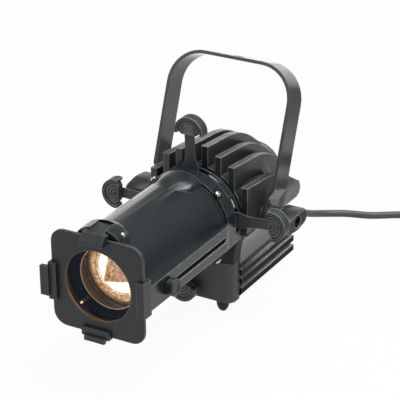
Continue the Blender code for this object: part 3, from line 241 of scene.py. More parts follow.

# Looks of the painted lamplight, glints and shade, and of edge wear and highlight beyond the common finish

BLACK = (0.0, 0.0, 0.0)
WHITE = (1.0, 1.0, 1.0)
RAIL_HIGHLIGHT = 2.2
METAL_WEAR_HIGHLIGHT = 0.2
METAL_BRIGHT = (0.9, 0.9, 0.88)
NECK_SHADOW = (0.006, 0.0065, 0.007)
BORE_SPILL = {"radius": 39.2 * MM, "fade": 0.4 * MM, "amount": 0.03, "tint": (0.5, 0.58, 0.95)}
RIM_SPILL = {"radius": 31.05 * MM, "fade": 0.2 * MM, "start": depth(0.2), "amount": 0.55, "lean": 0.9}
BORE_GLINT = (1.0, 0.72, 0.5)
COLLAR_LEAK = (0.56, 0.53, 0.51)
MOUNT_NAVY_GLOW = (0.0085, 0.0093, 0.013)
MOUNT_LIP_HIGHLIGHT = (0.4, 0.26, 0.19)
MOUNT_STOPS = ((0.0, (0.42, 0.25, 0.14)), (0.15, (0.36, 0.2, 0.11)), (0.3, (0.2, 0.11, 0.065)),
               (0.5, (0.09, 0.05, 0.032)), (0.7, (0.045, 0.028, 0.02)), (1.0, (0.03, 0.019, 0.015)))
LENS_STOPS = ((0.0, (0.33, 0.18, 0.085)), (0.7, (0.36, 0.2, 0.095)), (0.745, (0.42, 0.25, 0.13)),
              (0.77, (0.95, 0.8, 0.62)), (0.795, (0.36, 0.21, 0.11)), (0.87, (0.5, 0.31, 0.18)),
              (1.0, (0.3, 0.17, 0.095)))
VEIN_STOPS = ((0.0, (0.42, 0.3, 0.22)), (0.4, (0.85, 0.76, 0.68)), (0.75, (1.15, 1.15, 1.15)),
              (1.0, (1.9, 2.1, 2.4)))
LENS_WHITE = (1.0, 0.95, 0.84)

# Node helpers

FLOAT, VECTOR, TINT = "NodeSocketFloat", "NodeSocketVector", "NodeSocketColor"


class Net:
    """A node tree with short ways to add nodes and join them."""

    def __init__(self, tree):
        self.tree = tree
        tree.nodes.clear()

    def put(self, kind, **values):
        """One node with its properties set."""
        node = self.tree.nodes.new(kind)
        for key, value in values.items():
            setattr(node, key, value)
        return node

    def feed(self, socket, value):
        """Joins a socket to another, or sets it to a constant."""
        if isinstance(value, bpy.types.NodeSocket):
            self.tree.links.new(value, socket)
        elif socket.type == "RGBA":
            socket.default_value = (*value, 1.0)
        else:
            socket.default_value = value

    def op(self, kind, given, output=0, **values):
        """One node with its properties and inputs set; returns one of its outputs."""
        node = self.put(kind, **values)
        for key, value in given.items() if isinstance(given, dict) else enumerate(given):
            self.feed(node.inputs[key], value)
        return node.outputs[output]

    def maths(self, operation, first, second=0.5, clamp=False):
        return self.op("ShaderNodeMath", (first, second), operation=operation, use_clamp=clamp)

    plus = partialmethod(maths, "ADD")
    minus = partialmethod(maths, "SUBTRACT")
    most = partialmethod(maths, "MAXIMUM")
    unsigned = partialmethod(maths, "ABSOLUTE")

    def times(self, product, *factors, clamp=False):
        """The product of all values, held between 0 and 1 at the end if asked."""
        *others, last = factors
        for factor in others:
            product = self.maths("MULTIPLY", product, factor)
        return self.maths("MULTIPLY", product, last, clamp)

    def vector(self, operation, first, second=ORIGIN, output="Vector"):
        return self.op("ShaderNodeVectorMath", (first, second), output, operation=operation)

    def split(self, vector):
        """The three parts of a vector."""
        return tuple(self.op("ShaderNodeSeparateXYZ", (vector,)).node.outputs)

    def remap(self, value, low, high, new_low=0.0, new_high=1.0, smooth=False):
        return self.op("ShaderNodeMapRange", (value, low, high, new_low, new_high), "Result",
                       interpolation_type="SMOOTHSTEP" if smooth else "LINEAR")

    def blend(self, share, first, second, mode="MIX"):
        return self.op("ShaderNodeMix", {"Factor": share, "A": first, "B": second}, "Result",
                       data_type="RGBA", blend_type=mode)

    def noise(self, where, scale, detail=2.0, roughness=0.5):
        return self.op("ShaderNodeTexNoise", {"Vector": where, "Scale": scale, "Detail": detail,
                                              "Roughness": roughness}, "Fac")

    def ramp(self, share, stops):
        """A colour ramp through (place, colour) stops."""
        made = self.op("ShaderNodeValToRGB", {"Fac": share}, "Color")
        marks = made.node.color_ramp.elements
        for mark, (place, colour) in zip(marks, (stops[0], stops[-1])):
            mark.position, mark.color = place, (*colour, 1.0)
        for place, colour in stops[1:-1]:
            marks.new(place).color = (*colour, 1.0)
        return made

    def place(self):
        """Where a point lies on its piece."""
        return self.put("ShaderNodeTexCoord").outputs["Object"]

    def from_axis(self):
        """Where a point lies from the optical axis."""
        return self.vector("SUBTRACT", self.place(), (0.0, 0.0, AXIS_HEIGHT))

    def round_axis(self):
        """How far a point lies across, back, up, and in all from the optical axis."""
        across, back, rise = self.split(self.from_axis())
        square = self.plus(self.times(across, across), self.times(rise, rise))
        return across, back, rise, self.maths("POWER", square, 0.5)

    def rays(self):
        """Whether a ray comes from the camera or through glass, and whether it is a reflection."""
        path = self.put("ShaderNodeLightPath").outputs
        return self.most(path["Is Camera Ray"], path["Is Transmission Ray"]), path["Is Glossy Ray"]

    def shared(self, name, **values):
        """A shared effect with its own values; returns its outputs."""
        node = self.put("ShaderNodeGroup")
        node.node_tree = bpy.data.node_groups.get(name) or GROUP_MAKERS[name]()
        for key, value in values.items():
            self.feed(node.inputs[key.capitalize()], value)
        return node.outputs


class Finish(Net):
    """A material's node tree with its Principled shader at hand."""

    def __init__(self, name):
        self.material = bpy.data.materials.new(name)
        self.material.use_nodes = True
        super().__init__(self.material.node_tree)
        self.shader = self.put("ShaderNodeBsdfPrincipled")
        self.feed(self.put("ShaderNodeOutputMaterial").inputs["Surface"], self.shader.outputs["BSDF"])

    def give(self, socket, value):
        """Feeds one of the shader's sockets."""
        self.feed(self.shader.inputs[socket], value)

    def now(self, socket, plain=None):
        """What feeds one of the shader's sockets already, or a plain value."""
        links = self.shader.inputs[socket].links
        return links[0].from_socket if links else plain

    def glow(self, colour, strength=1.0):
        """Light that the finish itself gives."""
        self.give("Emission Color", colour)
        self.give("Emission Strength", strength)

    def dress(self, *names):
        """Gives CAD nodes this finish, welds their facets and shades them smooth."""
        for piece in (frame["nodes"][name] for name in names):
            for slot in piece.material_slots:
                slot.material = self.material
            piece.modifiers.new("weld", "WELD").merge_threshold = 0.01 * MM
            piece.modifiers.new("smooth", "NODES").node_group = smooth_by_edge()


# Shared effects

def new_group(name, inputs, outputs):
    """An empty shader group with named sockets; returns its net, its inputs and its outputs."""
    tree = bpy.data.node_groups.new(name, "ShaderNodeTree")
    for label, value in inputs.items():
        kind = TINT if isinstance(value, tuple) else FLOAT
        tree.interface.new_socket(label, in_out="INPUT", socket_type=kind).default_value = value
    for label, kind in outputs.items():
        tree.interface.new_socket(label, in_out="OUTPUT", socket_type=kind)
    net = Net(tree)
    return net, net.put("NodeGroupInput").outputs, net.put("NodeGroupOutput").inputs


def coat_grain_group():
    """Fine orange-peel of powder coat or moulded plastic, with a slow mottle of its tone."""
    net, given, result = new_group("Coat grain", {"Scale": 1400.0, "Mottle": 0.15},
                                   {"Height": FLOAT, "Tone": FLOAT})
    where = net.place()
    fine = net.noise(where, given["Scale"], 2.0, 0.6)
    coarse = net.noise(where, net.times(given["Scale"], 0.31), 1.0)
    slow = net.noise(where, 38.0, 4.0, 0.6)
    net.feed(result["Height"], net.plus(net.times(fine, 0.65), net.times(coarse, 0.35)))
    swing, speck = (net.times(net.minus(marks, 0.5), given["Mottle"]) for marks in (slow, fine))
    net.feed(result["Tone"], net.plus(net.plus(1.0, swing), speck))
    return net.tree


def edge_wear_group():
    """A rounded normal on hard edges and a mask of rubbed paint with a painted highlight, most on upper edges."""
    net, given, result = new_group("Edge wear", {"Radius": 0.6 * MM, "Wear": 0.5},
                                   {"Normal": VECTOR, "Mask": FLOAT})
    rounded = net.op("ShaderNodeBevel", {"Radius": given["Radius"]}, "Normal", samples=6)
    within = net.op("ShaderNodeAmbientOcclusion", {"Distance": net.times(given["Radius"], 1.5)}, "AO",
                    samples=6, inside=True, only_local=True)
    bend = net.remap(within, 0.92, 0.62)
    # painted highlight: edges that face up get more of the mask, as the light falls from above
    upper = net.remap(net.split(rounded)[2], -0.1, 0.5, 0.5, 1.0)
    patchy = net.remap(net.noise(net.place(), 120.0, 4.0, 0.65), 0.35, 0.65, 0.35, 1.0)
    net.feed(result["Normal"], rounded)
    net.feed(result["Mask"], net.times(bend, upper, patchy, given["Wear"], clamp=True))
    return net.tree


def dust_top_light_group():
    """Thin dust and a painted top light on faces that look up, broken up by noise."""
    net, given, result = new_group("Dust and top light", {"Amount": 0.1}, {"Mask": FLOAT})
    normal = net.put("ShaderNodeNewGeometry").outputs["Normal"]
    upward = net.remap(net.split(normal)[2], 0.45, 1.0, smooth=True)
    patchy = net.remap(net.noise(net.place(), 260.0, 5.0, 0.7), 0.3, 0.7, 0.4, 1.0)
    net.feed(result["Mask"], net.times(upward, patchy, given["Amount"], clamp=True))
    return net.tree


def lamp_spill_group():
    """Lamplight on what lies close round the optical axis, strongest at the lower left where it leans."""
    net, given, result = new_group(
        "Lamp spill",
        {"Radius": 32.0 * MM, "Fade": 1.5 * MM, "Start": -1.0, "Amount": 1.0, "Lean": 0.0,
         "Tint": (1.0, 0.42, 0.14, 1.0)},
        {"Glow": TINT})
    _, back, _, radius = net.round_axis()
    close = net.remap(radius, net.plus(given["Radius"], given["Fade"]), given["Radius"], smooth=True)
    near = net.times(close, net.remap(back, given["Start"], net.plus(given["Start"], 2.0 * MM)))
    uneven = net.remap(net.noise(net.place(), 45.0, 3.0, 0.6), 0.38, 0.68, 0.1, 1.0)
    toward = net.vector("DOT_PRODUCT", net.from_axis(), (-0.74, 0.0, -0.67), "Value")
    share = net.remap(net.maths("DIVIDE", toward, radius), -0.1, 0.8, 1.0, 0.0, True)
    side = net.minus(1.0, net.times(share, given["Lean"]))
    mask = net.times(near, uneven, side, given["Amount"])
    net.feed(result["Glow"], net.blend(mask, BLACK, given["Tint"]))
    return net.tree


GROUP_MAKERS = {
    "Coat grain": coat_grain_group,
    "Edge wear": edge_wear_group,
    "Dust and top light": dust_top_light_group,
    "Lamp spill": lamp_spill_group,
}


def smooth_by_edge():
    """Geometry nodes that shade a welded CAD mesh smooth and keep its hard edges sharp."""
    name = "Smooth by edge"
    if name in bpy.data.node_groups:
        return bpy.data.node_groups[name]
    net = Net(bpy.data.node_groups.new(name, "GeometryNodeTree"))
    for side in ("INPUT", "OUTPUT"):
        net.tree.interface.new_socket("Geometry", in_out=side, socket_type="NodeSocketGeometry")
    given = net.put("NodeGroupInput").outputs[0]
    faces = net.op("GeometryNodeSetShadeSmooth", {"Geometry": given}, domain="FACE")
    angle = net.put("GeometryNodeInputMeshEdgeAngle").outputs["Unsigned Angle"]
    gentle = net.op("FunctionNodeCompare", {"A": angle, "B": math.radians(33.0)}, "Result",
                    data_type="FLOAT", operation="LESS_THAN")
    edges = net.op("GeometryNodeSetShadeSmooth", {"Geometry": faces, "Shade Smooth": gentle}, domain="EDGE")
    net.feed(net.put("NodeGroupOutput").inputs[0], edges)
    return net.tree


# Finishes

def worn_and_highlit(name, colour, grain, mottle, rounding, wear, bright, bump, grain_depth):
    """Mottled tone, fine grain, and edges brightened by rubbed paint and a painted highlight; returns the finish,
    its tone and colour.
    """
    finish = Finish(name)
    marks = finish.shared("Coat grain", scale=grain, mottle=mottle)
    edges = finish.shared("Edge wear", radius=bpy.context.scene.spot_sizes.edge_round * rounding, wear=wear)
    finish.wear = edges["Mask"].node.inputs["Wear"]
    toned = finish.blend(1.0, colour, marks["Tone"], "MULTIPLY")
    finish.give("Normal", finish.op("ShaderNodeBump", {"Strength": bump, "Distance": grain_depth * MM,
                                                       "Height": marks["Height"], "Normal": edges["Normal"]}))
    return finish, marks["Tone"], finish.blend(edges["Mask"], toned, bright)


def coated(name, colour, roughness, grain, grain_depth, wear=0.35, dust_and_top_light=0.02, mottle=0.2, specular=0.5,
           spill=None):
    """Paint or plastic with thin dust and painted top light and, if asked, lamplight; the grain's depth is in
    millimetres.
    """
    colours = bpy.context.scene.spot_colours
    finish, tone, rubbed_and_highlit = worn_and_highlit(name, colour, grain, mottle, 1.0, wear, colours.edge_wear_highlight, 0.35, grain_depth)
    dust_top_light_mask = finish.shared("Dust and top light", amount=dust_and_top_light)["Mask"]
    finish.give("Base Color", finish.blend(dust_top_light_mask, rubbed_and_highlit, colours.dust_and_top_light))
    finish.give("Roughness", finish.plus(finish.times(tone, roughness), finish.times(dust_top_light_mask, 0.4), True))
    finish.give("Specular IOR Level", specular)
    if spill:
        finish.glow(finish.shared("Lamp spill", **{"tint": colours.lamplight, **spill})["Glow"])
    return finish


def bare_metal(name, colour, roughness, grain=900.0):
    """Bright metal: fine turning marks, tarnish, and polished edges with a painted highlight."""
    finish, tone, rubbed_and_highlit = worn_and_highlit(name, colour, grain, 0.25, 0.5, METAL_WEAR_HIGHLIGHT, METAL_BRIGHT, 0.15, 0.03)
    finish.give("Base Color", rubbed_and_highlit)
    finish.give("Roughness", finish.times(tone, roughness))
    finish.give("Metallic", 1.0)
    return finish


def rubber_sheath(name, colour):
    """Matt, fine-grained rubber of the lead and its gland."""
    return coated(name, colour, 0.45, 2200.0, 0.06, wear=0.0, dust_and_top_light=0.15, mottle=0.35, specular=0.4)


# Mesh helpers

def new_object(name, data):
    """An object put into the scene."""
    made = bpy.data.objects.new(name, data)
    bpy.context.scene.collection.objects.link(made)
    return made


def new_mesh(name, shape):
    """A mesh made from a bmesh, which is used up."""
    mesh = bpy.data.meshes.new(name)
    shape.to_mesh(mesh)
    shape.free()
    return mesh


def mesh_piece(name, shape, finish, body):
    """A new piece from a bmesh, smooth with crisp edges, riding on a body."""
    bmesh.ops.recalc_face_normals(shape, faces=shape.faces)
    mesh = new_mesh(name, shape)
    mesh.shade_smooth()
    mesh.set_sharp_from_angle(angle=math.radians(35.0))
    mesh.materials.append(finish.material)
    piece = new_object(name, mesh)
    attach(piece, body)
    return piece


def bridge(shape, near, far):
    """Faces between two rings of points, of which one may be a single tip."""
    count = max(len(near), len(far))
    for step in range(count):
        after = (step + 1) % count
        if len(near) == 1:
            corners = near[0], far[step], far[after]
        elif len(far) == 1:
            corners = near[step], far[0], near[after]
        else:
            corners = near[step], far[step], far[after], near[after]
        shape.faces.new(corners)


def turned(profile, steps):
    """A closed turned shape round +Z, from (radius, height) pairs that begin and end on the axis or close up."""
    shape = bmesh.new()
    round_turn = [2.0 * math.pi * step / steps for step in range(steps)]
    rings = [[shape.verts.new((radius * math.cos(turn), radius * math.sin(turn), rise))
              for turn in (round_turn if radius else (0.0,))] for radius, rise in profile]
    for near, far in zip(rings, rings[1:]):
        bridge(shape, near, far)
    if len(rings[0]) > 1 and len(rings[-1]) > 1:
        bridge(shape, rings[-1], rings[0])
    return shape


def aim(place, direction, spin=0.0):
    """A placing matrix that turns +Z to a direction."""
    turn = Vector(direction).normalized().to_track_quat("Z", "Y").to_matrix().to_4x4()
    return Matrix.Translation(place) @ turn @ Matrix.Rotation(spin, 4, "Z")


def cross_cutter(radius, width, top, deep):
    """A cross prism with leaning walls, for a screw's recess."""
    shape = bmesh.new()
    rings = []
    for share, rise in ((0.72, top - deep), (1.0, top + deep)):
        arm = radius * share
        half = width / 2.0 * share
        corners = [Matrix.Rotation(math.pi / 2.0 * quarter, 2) @ Vector(corner)
                   for quarter in range(4) for corner in ((half, half), (half, arm), (-half, arm))]
        rings.append([shape.verts.new((corner.x, corner.y, rise)) for corner in corners])
    bridge(shape, *rings)
    shape.faces.new(reversed(rings[0]))
    shape.faces.new(rings[1])
    return shape


def pan_head(radius):
    """A domed screw head on +Z with a cross recess, its underside at zero."""
    tall = radius * 0.72
    profile = [(0.0, 0.0), (radius, 0.0), (radius, tall * 0.35)]
    for step in range(1, 6):
        angle = math.radians(15.0 * step)
        profile.append((radius * math.cos(angle), tall * (0.35 + 0.65 * math.sin(angle))))
    profile.append((0.0, tall))
    spent = []
    for label, shape in (("head", turned(profile, 28)),
                         ("cross", cross_cutter(radius * 0.64, radius * 0.4, tall, tall * 0.6))):
        bmesh.ops.recalc_face_normals(shape, faces=shape.faces)
        spent.append(new_object(label, new_mesh(label, shape)))
    recess = spent[0].modifiers.new("recess", "BOOLEAN")
    recess.operation = "DIFFERENCE"
    recess.object = spent[1]
    made = spent[0].evaluated_get(bpy.context.evaluated_depsgraph_get())
    shape = bmesh.new()
    shape.from_mesh(made.to_mesh())
    made.to_mesh_clear()
    for blank in spent:
        mesh = blank.data
        bpy.data.objects.remove(blank, do_unlink=True)
        bpy.data.meshes.remove(mesh)
    return shape


# Lead route, repeated from the CAD source in millimetres from the colour frame's centre

CORD_RADIUS = 3.5
CORD_STEP = 2.0 * CORD_RADIUS
SEAT = 0.3
CORD_EXIT = (2.0, 304.7, -64.5)
FLOOR_LINE = -91.5
COIL_LINE = FLOOR_LINE + 1.8
COIL_TURNS = 2.375
COIL_STEPS = 24
COIL_PITCH = 7.8
COIL_OUTER_RADIUS = 48.0
COIL_CENTRE = (156.0, 376.0)
PLUG_RADIUS = 18.0
PLUG_LENGTH = 46.0
ROUTE_SPACING = 4.0
TIE_TURN = math.radians(45.0)
TIE_THICK = 1.2
TIE_CORNER = 2.6


def ease(share):
    """A share from 0 to 1 that starts and ends gently."""
    return share * share * (3.0 - 2.0 * share)


def smooth_route(route):
    """Even points on a smooth curve through given route points."""
    dense = []
    for index in range(len(route) - 1):
        before = route[max(index - 1, 0)]
        start = route[index]
        end = route[index + 1]
        after = route[min(index + 2, len(route) - 1)]
        reach = (end - start).length
        lead = (end - before).normalized() * reach
        tail = (after - start).normalized() * reach
        for step in range(24):
            t = step / 24.0
            dense.append(start * (2 * t ** 3 - 3 * t ** 2 + 1) + lead * (t ** 3 - 2 * t ** 2 + t)
                         + end * (3 * t ** 2 - 2 * t ** 3) + tail * (t ** 3 - t ** 2))
    dense.append(route[-1])
    total = sum((far - near).length for near, far in zip(dense, dense[1:]))
    count = max(2, round(total / ROUTE_SPACING))
    points = [dense[0]]
    walked = 0.0
    for near, far in zip(dense, dense[1:]):
        length = (far - near).length
        while len(points) < count and walked + length >= total * len(points) / count:
            points.append(near.lerp(far, (total * len(points) / count - walked) / length))
        walked += length
    points.append(dense[-1])
    return points


def coil_points():
    """Loops that spiral in on the floor, climb one layer in half a turn and spiral out again."""
    inward = COIL_TURNS * COIL_STEPS
    climb = COIL_STEPS // 2
    total = int(2 * inward + climb)
    points = []
    for index in range(total + 1):
        angle = math.radians(90.0) - 2.0 * math.pi * index / COIL_STEPS
        share = min(max((index - inward) / climb, 0.0), 1.0)
        inset = min(index, total - index, inward) + climb * (share - share ** 2)
        radius = COIL_OUTER_RADIUS - COIL_PITCH * inset / COIL_STEPS
        points.append(Vector((COIL_CENTRE[0] + radius * math.cos(angle), COIL_CENTRE[1] + radius * math.sin(angle),
                              COIL_LINE + COIL_PITCH * ease(share))))
    return points


def lead_heading():
    """The direction in which the lead leaves the coil."""
    angle = math.radians(-360.0 * (2.0 * COIL_TURNS + 0.5))
    return Vector((math.cos(angle), math.sin(angle), 0.0))


def lead_points():
    """The whole lead's centreline, gland to plug."""
    coil = coil_points()
    entry = coil[0]
    exit_x, start, drop = CORD_EXIT
    joint = entry.x - CORD_STEP
    # The first bends: cord diameters right of and behind the gland, and the share of the fall to the floor
    bends = ((0.0, 1.0, 0.0), (0.26, 3.95, 0.27), (0.8, 7.1, 0.69), (2.0, 10.0, 0.94), (4.25, 11.76, 1.0),
             (7.5, 12.85, 1.0), (11.4, 15.2, 1.0))
    route = [Vector((exit_x + right * CORD_STEP, start + back * CORD_STEP, drop + (FLOOR_LINE - drop) * fall))
             for right, back, fall in bends]
    route.append(Vector((joint - 4.0 * CORD_STEP, entry.y, FLOOR_LINE + (COIL_LINE - FLOOR_LINE) * 0.6)))
    route.append(Vector((joint - CORD_STEP - SEAT, entry.y, COIL_LINE)))
    points = [Vector(CORD_EXIT)] + smooth_route(route)
    points += smooth_route([points[-1], Vector((joint, entry.y, entry.z))] + coil)[1:]
    heading = lead_heading()
    climb = PLUG_RADIUS - AXIS_HEIGHT / MM - coil[-1].z
    for tenth in range(1, 11):
        share = tenth / 10.0
        points.append(coil[-1] + heading * (7.0 * CORD_STEP * share) + Vector((0.0, 0.0, climb * ease(share))))
    points.append(points[-1] + heading * CORD_STEP)
    return points


def tie_band(name, finish):
    """A hook-and-loop band round the coil's strands, its end lapped over its start."""
    width = bpy.context.scene.spot_sizes.tie_width / MM
    inner = COIL_OUTER_RADIUS - COIL_PITCH * (COIL_TURNS + 0.25) - CORD_RADIUS - 2.0 * SEAT
    outer = COIL_OUTER_RADIUS + CORD_RADIUS + 2.0 * SEAT
    low = COIL_LINE - CORD_RADIUS - SEAT
    high = COIL_LINE + COIL_PITCH + CORD_RADIUS + 2.0 * SEAT
    near, far = inner + TIE_CORNER, outer - TIE_CORNER
    under, over = low + TIE_CORNER, high - TIE_CORNER
    path = []
    for centre_r, centre_z, start in ((far, over, 90.0), (far, under, 0.0), (near, under, -90.0),
                                      (near, over, -180.0)):
        for step in range(7):
            angle = math.radians(start - 15.0 * step)
            path.append((centre_r + TIE_CORNER * math.cos(angle), centre_z + TIE_CORNER * math.sin(angle),
                         angle, 0.0))
    top = math.radians(90.0)
    lap = TIE_THICK + 0.15
    middle = (inner + outer) / 2.0
    path.insert(0, (middle - 4.0, high, top, 0.0))
    path += [(near + 2.5, high, top, 0.0), (middle - 6.5, high, top, lap * 0.5), (middle - 3.8, high, top, lap),
             (middle + 4.0, high, top, lap), (middle + 8.5, high, top, lap * 0.9)]
    section = ((-0.5, 0.25), (-0.42, 0.0), (0.42, 0.0), (0.5, 0.25), (0.5, 0.75), (0.42, 1.0), (0.0, 1.06),
               (-0.42, 1.0), (-0.5, 0.75))
    turn = Matrix.Rotation(TIE_TURN, 3, "Z")
    centre = Vector((*COIL_CENTRE, 0.0))
    shape = bmesh.new()
    rings = []
    for radius, rise, angle, lift in path:
        ring = []
        for across, up in section:
            out = lift + TIE_THICK * up
            point = Vector((radius + out * math.cos(angle), across * width, rise + out * math.sin(angle)))
            ring.append(shape.verts.new(at(*(turn @ point + centre))))
        rings.append(ring)
    for first, second in zip(rings, rings[1:]):
        bridge(shape, first, second)
    shape.faces.new(rings[0])
    shape.faces.new(rings[-1])
    return mesh_piece(name, shape, finish, "stand")


# Operators

class SPOT_OT_stage(bpy.types.Operator):
    """Camera, pale floor, soft lights and white room"""
    bl_idname = "spot.stage"
    bl_label = "Stage"

    def execute(self, context):
        stage = context.scene.spot_stage
        context.scene.view_settings.view_transform = "Standard"
        self.camera(context.scene, stage)
        self.floor(stage)
        self.lights(stage)
        self.room(context.scene, stage)
        return {"FINISHED"}

    def camera(self, scene, stage):
        """The photograph's own view."""
        sin_turn, cos_turn = math.sin(CAMERA_TURN), math.cos(CAMERA_TURN)
        sin_tilt, cos_tilt = math.sin(CAMERA_TILT), math.cos(CAMERA_TILT)
        right = Vector((cos_turn, sin_turn, 0.0))
        up = Vector((-sin_turn * sin_tilt, cos_turn * sin_tilt, cos_tilt))
        eye = bpy.data.cameras.new("photo_view")
        eye.lens = stage.lens_length
        eye.sensor_width = SENSOR_WIDTH
        eye.clip_start = 0.05
        eye.clip_end = 50.0
        scene.camera = new_object("photo_view", eye)
        scene.camera.matrix_world = (Matrix.Translation(at(*CAMERA_PLACE))
                                     @ Matrix((right, up, right.cross(up))).transposed().to_4x4()
                                     @ Matrix.Rotation(CAMERA_ROLL, 4, "Z"))

    def floor(self, stage):
        """White to the camera; reflections find it bright at the back left, dark at the back right and far off."""
        finish = bpy.data.materials.new("studio_floor")
        finish.use_nodes = True
        net = Net(finish.node_tree)
        where = net.place()
        across, back, _ = net.split(where)
        right = net.times(net.remap(across, 0.17, 0.27, smooth=True), net.remap(back, 0.0, 0.15, smooth=True))
        away = net.vector("DISTANCE", where, (-0.5, 0.5, 0.0), "Value")
        far = net.times(net.most(right, net.remap(away, 1.1, 1.5, smooth=True)), FLOOR_FAR_LOSS)
        sheen = net.times(net.remap(across, -0.05, -0.2, smooth=True),
                          net.remap(back, 0.1, 0.3, 0.0, FLOOR_SHEEN, True))
        clear, glossy = net.rays()
        matt = net.op("ShaderNodeBsdfDiffuse", {"Color": stage.floor_white})
        white = net.op("ShaderNodeEmission", {"Strength": net.plus(1.0, net.times(net.minus(sheen, far), glossy))})
        seen = net.most(net.times(clear, stage.floor_glow), net.times(glossy, FLOOR_MIRROR))
        mixed = net.op("ShaderNodeMixShader", (seen, matt, white))
        net.feed(net.put("ShaderNodeOutputMaterial").inputs["Surface"], mixed)
        shape = bmesh.new()
        bmesh.ops.create_grid(shape, x_segments=1, y_segments=1, size=FLOOR_SIZE)
        mesh = new_mesh("studio_floor", shape)
        mesh.materials.append(finish)
        made = new_object("studio_floor", mesh)
        made.location = (0.0, 0.0, FLOOR)

    def lights(self, stage):
        """Three soft discs that face the middle of the spot."""
        for name, (place, size), power in (("key_light", KEY_PANEL, stage.key_power),
                                           ("top_light", TOP_PANEL, stage.top_power),
                                           ("fill_light", FILL_PANEL, stage.fill_power)):
            lamp = bpy.data.lights.new(name, "AREA")
            lamp.shape = "DISK"
            lamp.size = size
            lamp.energy = power
            new_object(name, lamp).matrix_world = aim(place, Vector(place) - at(*LIGHT_AIM))

    def room(self, scene, stage):
        """White to the camera, dim to reflections apart from a glowing cove at the back left."""
        scene.world = bpy.data.worlds.new("studio_room")
        scene.world.use_nodes = True
        net = Net(scene.world.node_tree)
        way = net.put("ShaderNodeTexCoord").outputs["Generated"]
        rise = net.split(way)[2]
        toward = net.vector("DOT_PRODUCT", way, COVE_WAY, "Value")
        cove = net.times(net.remap(toward, 0.55, 0.85, smooth=True),
                         net.remap(rise, 0.48, 0.0, 0.0, COVE_GLOW, True))
        sweep = net.plus(net.remap(rise, 0.0, 0.5, SKY_LOW, SKY_HIGH, True), cove)
        clear, glossy = net.rays()
        seen = net.most(clear, net.times(glossy, sweep))
        matt = net.minus(1.0, net.most(clear, glossy))
        strength = net.plus(seen, net.times(matt, stage.room_light))
        sky = net.op("ShaderNodeBackground", {"Color": WHITE, "Strength": strength})
        net.feed(net.put("ShaderNodeOutputWorld").inputs["Surface"], sky)


class SPOT_OT_power_lead(bpy.types.Operator):
    """Lead with its coil, tie, gland and plug"""
    bl_idname = "spot.power_lead"
    bl_label = "Power lead"

    def execute(self, context):
        sizes = context.scene.spot_sizes
        colours = context.scene.spot_colours
        curve = bpy.data.curves.new("power_lead", "CURVE")
        curve.dimensions = "3D"
        curve.bevel_depth = sizes.cord_diameter / 2.0
        curve.bevel_resolution = 4
        curve.use_fill_caps = True
        points = lead_points()
        spline = curve.splines.new("POLY")
        spline.points.add(len(points) - 1)
        for slot, point in zip(spline.points, points):
            slot.co = (*at(*point), 1.0)
        spline.use_smooth = True
        curve.materials.append(rubber_sheath("lead_sheath", colours.rubber * 2.0).material)
        lead = new_object("power_lead", curve)
        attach(lead, "stand")
        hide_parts("power_cord", "cord_coil")

        fabric = coated("tie_loop_fabric", colours.rubber, 0.85, 3600.0, 0.25, wear=0.0, dust_and_top_light=0.2, mottle=0.6,
                        specular=0.2)
        tie = tie_band("lead_tie", fabric)
        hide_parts("cord_tie")
        rubber_sheath("gland_rubber", colours.rubber).dress("cable_gland")
        self.plug_finish(colours, points[-1]).dress("plug")
        at(*CORD_EXIT)
        return {"FINISHED"}

    def plug_finish(self, colours, lead_end):
        """Moulded body with two steel pins past its face."""
        finish = coated("plug_moulding", colours.rubber, 0.5, 1500.0, 0.08, wear=0.1, dust_and_top_light=0.08, mottle=0.3)
        heading = lead_heading()
        face = at(*(lead_end + heading * (SEAT + PLUG_LENGTH + 0.2)))
        along = finish.vector("DOT_PRODUCT", finish.vector("SUBTRACT", finish.place(), face), heading, "Value")
        pins = finish.maths("GREATER_THAN", along, 0.0)
        finish.give("Base Color", finish.blend(pins, finish.now("Base Color"), colours.steel))
        finish.give("Metallic", pins)
        finish.give("Roughness", finish.minus(finish.now("Roughness"), finish.times(pins, 0.25)))
        return finish


